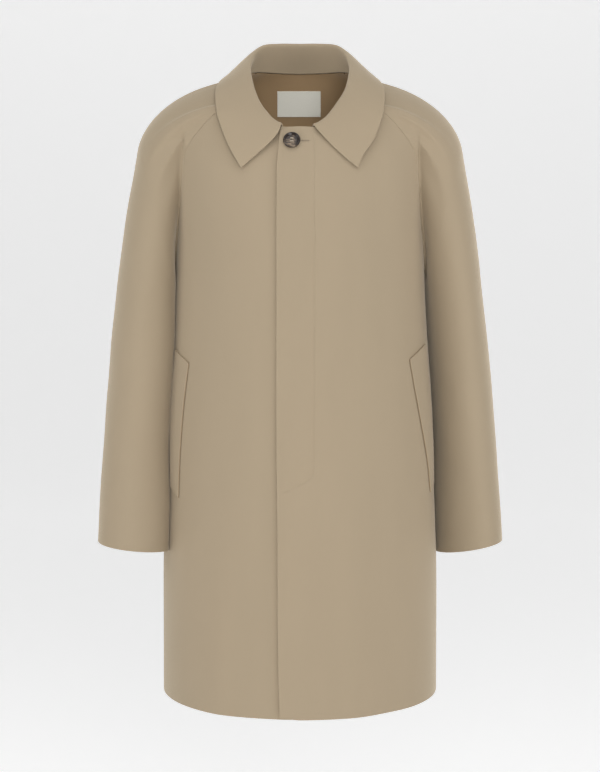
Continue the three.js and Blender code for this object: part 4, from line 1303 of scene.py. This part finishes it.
class COAT_OT_sleeves(bpy.types.Operator):
    """Make the raglan sleeves, each in a front and a back half"""

    bl_idname = "coat.sleeves"
    bl_label = "Sleeves"

    def execute(self, context):
        settings = context.scene.coat_cloth
        step = settings.grid_step / MM
        upper, lower = stations(215, step, True, False), stations(380, step, False, True)
        steps = np.concatenate([upper, 1 + (SLEEVE_STEPS - 1) * lower[1:]])
        degrees = stations(205, step) * 180
        halves = [(sign, side, back) for sign, side in ((-1, "right"), (1, "left")) for back in (False, True)]
        for sign, side, back in halves:
            rings = rings_of(sign)
            name = f"sleeve_{side}_{'back' if back else 'front'}"
            grid = mirrored(sleeve_point(steps[:, None], degrees[None, :], back, rings), sign)
            cloth = Cloth(grid, (-1 if back else 1) * sign, PANEL_RIMS, settings.wall / MM)
            table = SLEEVE_BACK_CREASES if back else SLEEVE_CREASES
            height = creased(grid[..., 0], grid[..., 2], table) * settings.crease_height
            height += uneven(grid, 13 + sign + 2 * back, 90) * settings.unevenness / MM
            if not back:
                height -= folded(grid[..., 0], grid[..., 2], SLEEVE_FOLDS) * settings.crease_height
            cloth.raise_by(height * cloth.off_seams(16))
            cloth.pucker(settings.pucker / MM)
            for rim, gap in (("start", 1), ("end", 1), ("top", 3)):
                cloth.pull_in(rim, gap * settings.seam_gap / MM)
            row = 1 - np.minimum(degrees, NECK_DEGREES) / NECK_DEGREES
            on_seam = seam_normal(row, back, rings)
            over_neck = sleeve_edge_normal(np.zeros_like(degrees), degrees, back, rings)
            shared = np.where((degrees <= NECK_DEGREES)[:, None], on_seam, over_neck)
            for rim, angle in (("start", 0.0), ("end", 180.0)):
                edge = np.full_like(steps, angle)
                both = sum(sleeve_edge_normal(steps, edge, half, rings) for half in (False, True))
                cloth.lean(rim, mirrored(unit(both), sign))
            cloth.lean("top", mirrored(shared, sign))
            MADE[name] = cloth
            cloth_object(
                name + "_cloth", cloth, name, finish_called("coat_gabardine"),
                extra=hem_extra(cloth, "bottom", 32),
            )
        return {"FINISHED"}


def bezier(a, b, c, d, s):
    s = s[..., None]
    r = 1 - s
    return a * r**3 + b * 3 * r * r * s + c * 3 * r * s * s + d * s**3


def collar_point(turn, t, wall):
    """The collar's shown face: turn round the neck, t up the stand (0 to 1) and down the leaf (1 to 2)."""
    turn, t = np.broadcast_arrays(np.asarray(turn, float), np.asarray(t, float))
    sign = np.where(turn <= 180, -1.0, 1.0)
    psi = np.where(turn <= 180, turn, 360 - turn)
    row = read(COLLAR, psi)
    rx, ry, rz, ex, ey, ez, rounding, bulge = (row[..., k] for k in range(8))
    near_front = (1 - ease(COLLAR_START, 42, psi))[..., None]
    on_right = (sign < 0)[..., None]
    bends = {name: np.where(on_right, mirrored(right, -1), left) for name, right, left in LEAF_BENDS}
    drawn_in = np.where(sign > 0, ROLL_IN * ease(20, 42, psi) * (1 - ease(46, 66, psi)), 0)
    angle = np.radians(psi)
    out = points(sign * np.sin(angle), -np.cos(angle), 0)
    foot = neck_point(psi, 1)
    foot[..., 0] *= sign
    foot = foot - out * wall
    foot[..., 2] += FOOT_LIFT - FOOT_DROP * near_front[..., 0]
    roll = points(sign * (rx - drawn_in), ry, rz) + bends["roll"] * near_front
    edge = points(sign * ex, ey, ez) + bends["point"] * (1 - ease(COLLAR_START, 26, psi))[..., None]
    low = foot.copy()
    low[..., 2] += (roll[..., 2] - foot[..., 2]) * 0.45
    near = roll - out * np.minimum(rounding * 0.5, 3)[..., None]
    stand = bezier(foot, low, near, roll, np.clip(t, 0, 1))
    leaf_near = roll + out * rounding[..., None] + bends["near"] * near_front
    far = roll + (edge - roll) * 0.6 + out * bulge[..., None] + bends["far"] * near_front
    leaf = bezier(roll, leaf_near, far, edge, np.clip(t - 1, 0, 1))
    made = np.where((t <= 1)[..., None], stand, leaf)
    end = np.where(sign < 0, COLLAR_END_RIGHT, COLLAR_END_LEFT)
    made[..., 0] += sign * 1.45 * (end - COLLAR_START) * (1 - ease(COLLAR_START, 40, psi))
    return made


class COAT_OT_collar(bpy.types.Operator):
    """Make the collar: the stand inside the neck, the roll and the turned-down leaf"""

    bl_idname = "coat.collar"
    bl_label = "Collar"

    def execute(self, context):
        settings = context.scene.coat_cloth
        wall = settings.collar_wall / MM
        turns = COLLAR_START + stations(560, 2.4) * (360 - 2 * COLLAR_START)
        rises = np.concatenate([stations(40, 2.2, True, False), 1 + stations(78, 2.2, False, True)[1:]])
        cloth = Cloth(collar_point(turns[:, None], rises[None, :], wall), -1, FREE_RIMS, wall)
        leaf = ease(1.25, 1.5, rises)[None, :] * ease(0, 9, cloth.away["end"])
        cloth.raise_by(uneven(cloth.grid, 21, 80) * 0.35 * leaf)
        cloth_object(
            "collar_cloth", cloth, "collar", finish_called("collar_gabardine"),
        )
        return {"FINISHED"}


class COAT_OT_pockets(bpy.types.Operator):
    """Make the two slanted pocket welts on the fronts"""

    bl_idname = "coat.pockets"
    bl_label = "Pocket Welts"

    def execute(self, context):
        settings = context.scene.coat_cloth
        wall = settings.welt_wall / MM
        for side, sign, table in (("right", -1, WELT_RIGHT), ("left", 1, WELT_LEFT)):
            down, across = stations(212, 2.6), stations(46, 2.2)
            row = read(table, down)
            inner_x, inner_z, outer_x, outer_z = (row[:, k, None] for k in range(4))
            x = inner_x + (outer_x - inner_x) * across
            z = inner_z + (outer_z - inner_z) * across
            rows = 1 + (UNDERARM_Z - z) / (UNDERARM_Z - HEM_Z)
            share = solve(lambda s: body_point(rows, s, False)[..., 0] < x, 0, 1, x.shape)
            crease = creased(sign * x, z, FRONT_CREASES) * settings.crease_height
            lift = WELT_LIFT + wall
            grid = body_surface(rows, share, sign, False, lambda place: lift + crease)
            cloth_object(
                f"pocket_welt_{side}_cloth", Cloth(grid, sign, FREE_RIMS, wall), f"pocket_welt_{side}",
                finish_called("coat_gabardine"),
            )
        return {"FINISHED"}


class COAT_OT_label(bpy.types.Operator):
    """Make the bare woven label inside the back of the neck, with its stitches"""

    bl_idname = "coat.label"
    bl_label = "Neck Label"

    def execute(self, context):
        trim = context.scene.coat_trim
        wall = context.scene.coat_cloth.wall / MM
        thick = trim.label_thick / MM
        x0, x1 = LABEL_EDGES
        xs = x0 + stations(x1 - x0, 1.3) * (x1 - x0)
        zs = LABEL_TOP + stations(LABEL_TOP - LABEL_BOTTOM, 1.3) * (LABEL_BOTTOM - LABEL_TOP)
        x, z = np.meshgrid(xs, zs)
        sign = np.where(x < 0, -1.0, 1.0)

        def share_at(row):
            return solve(lambda s: body_point(row, s, True)[..., 0] < np.abs(x), 0, 1, x.shape, 34)

        def on_back(row):
            share = share_at(row)
            right = body_surface(row, share, 1, True)
            return np.where((sign > 0)[..., None], right, body_surface(row, share, -1, True))

        row = solve(lambda r: on_back(r)[..., 2] > z, 0, 1, x.shape, 34)
        grid = on_back(row)
        normals = grid_normals(grid, 1)
        normals = np.where(normals[..., 1:2] > 0, -normals, normals)
        grid = grid + normals * (wall + LABEL_GAP + thick)
        cloth = Cloth(grid, 1, FREE_RIMS, thick)
        if cloth.normals[..., 1].mean() > 0:
            cloth = Cloth(grid, -1, FREE_RIMS, thick)
        cloth_object(
            "label_cloth", cloth, "label", finish_called("label_weave"),
        )
        inset = 1.6
        rim = [np.argmin(np.abs(zs - place)) for place in (LABEL_TOP - inset, LABEL_BOTTOM + inset)]
        side = [np.argmin(np.abs(xs - place)) for place in (x0 + inset, x1 - inset)]
        runs = [(i, slice(side[0], side[1] + 1)) for i in rim]
        runs += [(slice(rim[0], rim[1] + 1), j) for j in side]
        parts = [stitch_run(cloth.grid[run], cloth.normals[run], 2.2, 1.5, 0.11, 0.05) for run in runs]
        places, faces = joined(parts)
        sewn = mesh_object("label_stitches", places, faces)
        piece_of(sewn, None, finish_called("label_thread"))
        return {"FINISHED"}


class COAT_OT_fly(bpy.types.Operator):
    """Sew the line of stitches that holds the fly behind the left front"""

    bl_idname = "coat.fly"
    bl_label = "Fly Stitching"

    def execute(self, context):
        trim = context.scene.coat_trim
        z = np.arange(FLY_LINE_TOP, FLY_LINE_BEND, -6.0)
        x = np.full_like(z, FLY_LINE_X)
        turn = np.linspace(0, 1, 14)[1:]
        end_x, end_z = FLY_LINE_END
        bend_x = FLY_LINE_X + (end_x - FLY_LINE_X) * turn**1.5
        bend_z = FLY_LINE_BEND + (end_z - FLY_LINE_BEND) * turn**0.75
        places, normals = on_front(np.concatenate([x, bend_x]), np.concatenate([z, bend_z]))
        pitch = trim.stitch_pitch / MM
        sewn, faces = stitch_run(places, normals, pitch, pitch * 0.72, trim.stitch_radius / MM, 0.12)
        made = mesh_object("fly_stitches", sewn, faces)
        piece_of(made, None, finish_called("coat_thread"))
        return {"FINISHED"}


class COAT_OT_button(bpy.types.Operator):
    """Make the horn button with its thread, and the worked buttonhole that it has passed through"""

    bl_idname = "coat.button"
    bl_label = "Button"

    def execute(self, context):
        trim = context.scene.coat_trim
        radius, thick = trim.button_radius / MM, trim.button_thick / MM
        self.make_button(radius, thick)
        self.make_thread(thick)
        self.make_buttonhole()
        return {"FINISHED"}

    def seat(self):
        """The CAD button's own middle and the three ways of its face."""
        low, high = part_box("button")
        middle = np.array((low + high) / 2) / MM
        _, normals = on_front(BUTTON_X, BUTTON_Z)
        out = normals[0]
        side = unit(np.cross(out, (0, 0, 1)))
        return middle, side, np.cross(out, side) * -1, out

    def placed(self, local):
        """Points given across, up and out of the button's face, in its own place."""
        middle, side, up, out = self.seat()
        return middle + local[..., :1] * side + local[..., 1:2] * up + local[..., 2:] * out

    def make_button(self, radius, thick):
        half = thick / 2
        profile = np.array(
            [
                # radius, height above the middle of its thickness
                (0.0, -half),
                (radius * 0.5, -half),
                (radius - 2.4, -half),
                (radius - 1.4, -half + 0.15),
                (radius - 0.5, -half + 0.75),
                (radius - 0.05, -half + 1.7),
                (radius, -half + 2.2),
                (radius - 0.2, half - 0.85),
                (radius - 0.75, half - 0.2),
                (radius - 1.5, half),
                (radius - 2.2, half - 0.06),
                (radius - 2.9, half - 0.36),
                (radius - 3.6, half - 0.9),
                (radius - 4.5, half - 1.15),
                (radius * 0.4, half - 1.22),
                (0.0, half - BUTTON_RECESS),
            ]
        )
        run = np.concatenate([[0], np.cumsum(np.linalg.norm(np.diff(profile, axis=0), axis=1))])
        fine = np.linspace(0, run[-1], 70)
        curve = np.stack([np.interp(fine, run, profile[:, k]) for k in (0, 1)], -1)
        for _ in range(2):
            curve[1:-1] = (curve[:-2] + curve[1:-1] * 2 + curve[2:]) / 4
        segments = 96
        angle = np.arange(segments) * 2 * math.pi / segments
        inner = curve[1:-1]
        rings = points(inner[:, :1] * np.cos(angle), inner[:, :1] * np.sin(angle), inner[:, 1:])
        count = rings.shape[0] * segments
        k = np.arange(segments)
        after = (k + 1) % segments
        last = count - segments
        quads = grid_faces(len(inner), segments, 0, True)
        triangles = np.concatenate(
            [
                quads[:, [0, 1, 2]],
                quads[:, [0, 2, 3]],
                np.stack([after, k, np.full(segments, count)], -1),
                np.stack([last + k, last + after, np.full(segments, count + 1)], -1),
            ]
        )
        local = np.concatenate([rings.reshape(-1, 3), [(0, 0, curve[0, 1])], [(0, 0, curve[-1, 1])]])
        disc = mesh_object("button_disc", self.placed(local), triangles)
        holes = []
        for x, y in ((-1, -1), (-1, 1), (1, -1), (1, 1)):
            path = points(x * HOLE_AT, y * HOLE_AT, np.linspace(-thick, thick, 5))
            places, sides = tube(path, np.full(5, HOLE_RADIUS), 28, (0, 1, 0))
            places, sides = capped(places, sides, 5, 28)
            holes.append((self.placed(places), sides))
        places, faces = joined(holes)
        cutter = mesh_object("button_holes", places, faces)
        cut = disc.modifiers.new("holes", "BOOLEAN")
        cut.operation = "DIFFERENCE"
        cut.solver = "EXACT"
        cut.object = cutter
        ready = bpy.context.evaluated_depsgraph_get()
        mesh = bpy.data.meshes.new_from_object(disc.evaluated_get(ready))
        made = bpy.data.objects.new("button_horn", mesh)
        bpy.context.scene.collection.objects.link(made)
        for left_over in (disc, cutter):
            bpy.data.objects.remove(left_over)
        mesh.shade_smooth()
        mesh.set_sharp_from_angle(angle=math.radians(40))
        piece_of(made, "button", finish_called("button_horn"))

    def make_thread(self, thick):
        """Thread that crosses between the holes in two bars and goes down to the cloth behind."""
        top = thick / 2 - BUTTON_RECESS
        half_x = np.array([-HOLE_AT, -HOLE_AT, -2.15, -1.5, -0.5])
        half_z = np.array([-thick / 2 - 0.9, top - 0.6, top + 0.05, top + 0.42, top + 0.55])
        x, z = np.concatenate([half_x, -half_x[::-1]]), np.concatenate([half_z, half_z[::-1]])
        parts = []
        for row in (-1, 1):
            for strand in (-0.45, -0.15, 0.15, 0.45):
                y = row * HOLE_AT + strand + 0.05 * np.sin(x * 2 + strand * 7)
                path = points(x + strand * 0.2, y, z)
                places, quads = tube(path, np.full(len(x), 0.19), 8, (0, 1, 0))
                places, faces = capped(places, quads, len(x), 8)
                parts.append((self.placed(places), faces))
        places, faces = joined(parts)
        made = mesh_object("button_thread", places, faces)
        piece_of(made, None, finish_called("button_thread"))

    def make_buttonhole(self):
        """A row of close stitches round a slit, which shows beside the button."""
        left, right, half = BUTTON_X, BUTTONHOLE_INNER, 0.6
        turn = np.linspace(0, 2 * math.pi, 60, endpoint=False)
        straight = (right - left) / 2 - half
        cx = (left + right) / 2
        x = cx + np.clip(np.cos(turn) * (straight + half) * 1.25, -straight, straight) + half * np.cos(turn)
        z = BUTTON_Z + half * np.clip(np.sin(turn) * 2.2, -1, 1)
        order = np.arange(len(turn) + 1) % len(turn)
        x, z = x[order], z[order]
        run = np.concatenate([[0], np.cumsum(np.hypot(np.diff(x), np.diff(z)))])
        parts = []
        pitch = 0.42
        steps = np.arange(0, run[-1], pitch)
        xs, zs = np.interp(steps, run, x), np.interp(steps, run, z)
        places, normals = on_front(xs, zs)
        for place, normal, one_x, one_z in zip(places, normals, xs, zs):
            away = np.array([(one_x - np.clip(one_x, left + half, right - half)), 0, one_z - BUTTON_Z])
            away = away / max(np.linalg.norm(away), 1e-6)
            away = unit(away - normal * (away @ normal))
            parts.append(stitch(place - away * 0.45, place + away * 0.4, normal, 0.17, 0.13))
        sewn, faces = joined(parts)
        made = mesh_object("buttonhole_stitches", sewn, faces)
        piece_of(made, None, finish_called("buttonhole_thread"))


class COAT_OT_studio(bpy.types.Operator):
    """Make the pale floor and backdrop, the soft lights and the camera"""

    bl_idname = "coat.studio"
    bl_label = "Studio"

    def execute(self, context):
        scene = context.scene
        studio = scene.coat_studio
        scene.view_settings.view_transform = "Standard"
        scene.view_settings.look = "None"
        self.make_backdrop(studio)
        world = bpy.data.worlds.new("room")
        world.use_nodes = True
        room = world.node_tree.nodes["Background"]
        room.inputs["Color"].default_value = (1.0, 1.0, 1.0, 1)
        room.inputs["Strength"].default_value = studio.room_light
        scene.world = world
        lights = (
            # name, where it stands, its width and height, power
            ("key", (-3.1, -1.9, 0.2), (2.2, 2.6), studio.key_power),
            ("fill", (3.1, -1.9, 0.1), (2.2, 2.6), studio.fill_power),
            ("front", (0.35, -3.7, 0.5), (1.5, 1.3), studio.front_power),
            ("top", (0, -0.7, 1.9), (2.4, 2.0), studio.top_power),
        )
        for light in lights:
            self.make_light(*light)
        camera = bpy.data.objects.new("camera", bpy.data.cameras.new("camera"))
        camera.data.lens = studio.lens
        camera.location = (0, -studio.camera_distance, studio.camera_height)
        camera.rotation_euler = (math.pi / 2 - studio.camera_tilt, 0, 0)
        scene.collection.objects.link(camera)
        scene.camera = camera
        return {"FINISHED"}

    def make_light(self, name, place, size, power_of):
        data = bpy.data.lights.new(name, "AREA")
        data.shape = "RECTANGLE"
        data.size, data.size_y = size
        data.energy = power_of
        lamp = bpy.data.objects.new(name, data)
        lamp.location = place
        aim = Vector(LIT_SPOT) - Vector(place)
        lamp.rotation_euler = aim.to_track_quat("-Z", "Y").to_euler()
        bpy.context.scene.collection.objects.link(lamp)

    def make_backdrop(self, studio):
        """One pale sweep, from the floor up behind the coat."""
        floor = studio.floor_drop / MM
        bend, back, front = 2500, 6800, -9000
        wide, high = 12000, 9000
        curve = [(front, floor), (back - bend, floor)]
        for angle in np.radians(np.arange(5, 90, 5)):
            curve.append((back - bend + bend * math.sin(angle), floor + bend * (1 - math.cos(angle))))
        curve += [(back, floor + bend), (back, floor + high)]
        profile = np.array(curve)
        across = np.linspace(-wide, wide, 9)
        grid = points(across[None, :], profile[:, :1], profile[:, 1:])
        sweep = mesh_object("studio_sweep", grid.reshape(-1, 3), grid_faces(*grid.shape[:2]))
        glow = {"Emission_Strength": studio.backdrop_glow, "Emission_Color": (0.8, 0.8, 0.8, 1)}
        finish = Finish("studio_paper", Specular_IOR_Level=0.1, **glow)
        grain = finish.noise(finish.object_place(), 4.0)
        colour = finish.mix(grain.clamped() * 0.02, rgba(studio.backdrop), shaded(studio.backdrop, 0.97))
        sweep.data.materials.append(finish.feed(Base_Color=colour, Roughness=0.9 + grain * 0.05))


class VIEW3D_PT_coat(bpy.types.Panel):
    """The coat's pieces and sizes in the sidebar"""

    bl_label = "Car Coat"
    bl_idname = "VIEW3D_PT_coat"
    bl_space_type = "VIEW_3D"
    bl_region_type = "UI"
    bl_category = "Coat"

    def draw(self, context):
        for group in (context.scene.coat_cloth, context.scene.coat_trim, context.scene.coat_studio):
            box = self.layout.box()
            for name in group.bl_rna.properties.keys():
                if name not in ("rna_type", "name"):
                    box.prop(group, name)
        for operator in PIECES:
            self.layout.operator(operator.bl_idname)


SETTINGS = (
    ("coat_cloth", CoatClothSettings),
    ("coat_trim", CoatTrimSettings),
    ("coat_studio", CoatStudioSettings),
)
PIECES = (
    COAT_OT_studio,
    COAT_OT_fronts,
    COAT_OT_back,
    COAT_OT_sleeves,
    COAT_OT_collar,
    COAT_OT_pockets,
    COAT_OT_label,
    COAT_OT_fly,
    COAT_OT_button,
)


def register():
    for name, group in SETTINGS:
        bpy.utils.register_class(group)
        setattr(bpy.types.Scene, name, bpy.props.PointerProperty(type=group))
    for operator in (*PIECES, VIEW3D_PT_coat):
        bpy.utils.register_class(operator)


def unregister():
    for operator in reversed((*PIECES, VIEW3D_PT_coat)):
        bpy.utils.unregister_class(operator)
    for name, group in reversed(SETTINGS):
        delattr(bpy.types.Scene, name)
        bpy.utils.unregister_class(group)


def main():
    register()
    for operator in PIECES:
        getattr(bpy.ops.coat, operator.bl_idname.split(".")[1])()


if __name__ == "__main__":
    main()
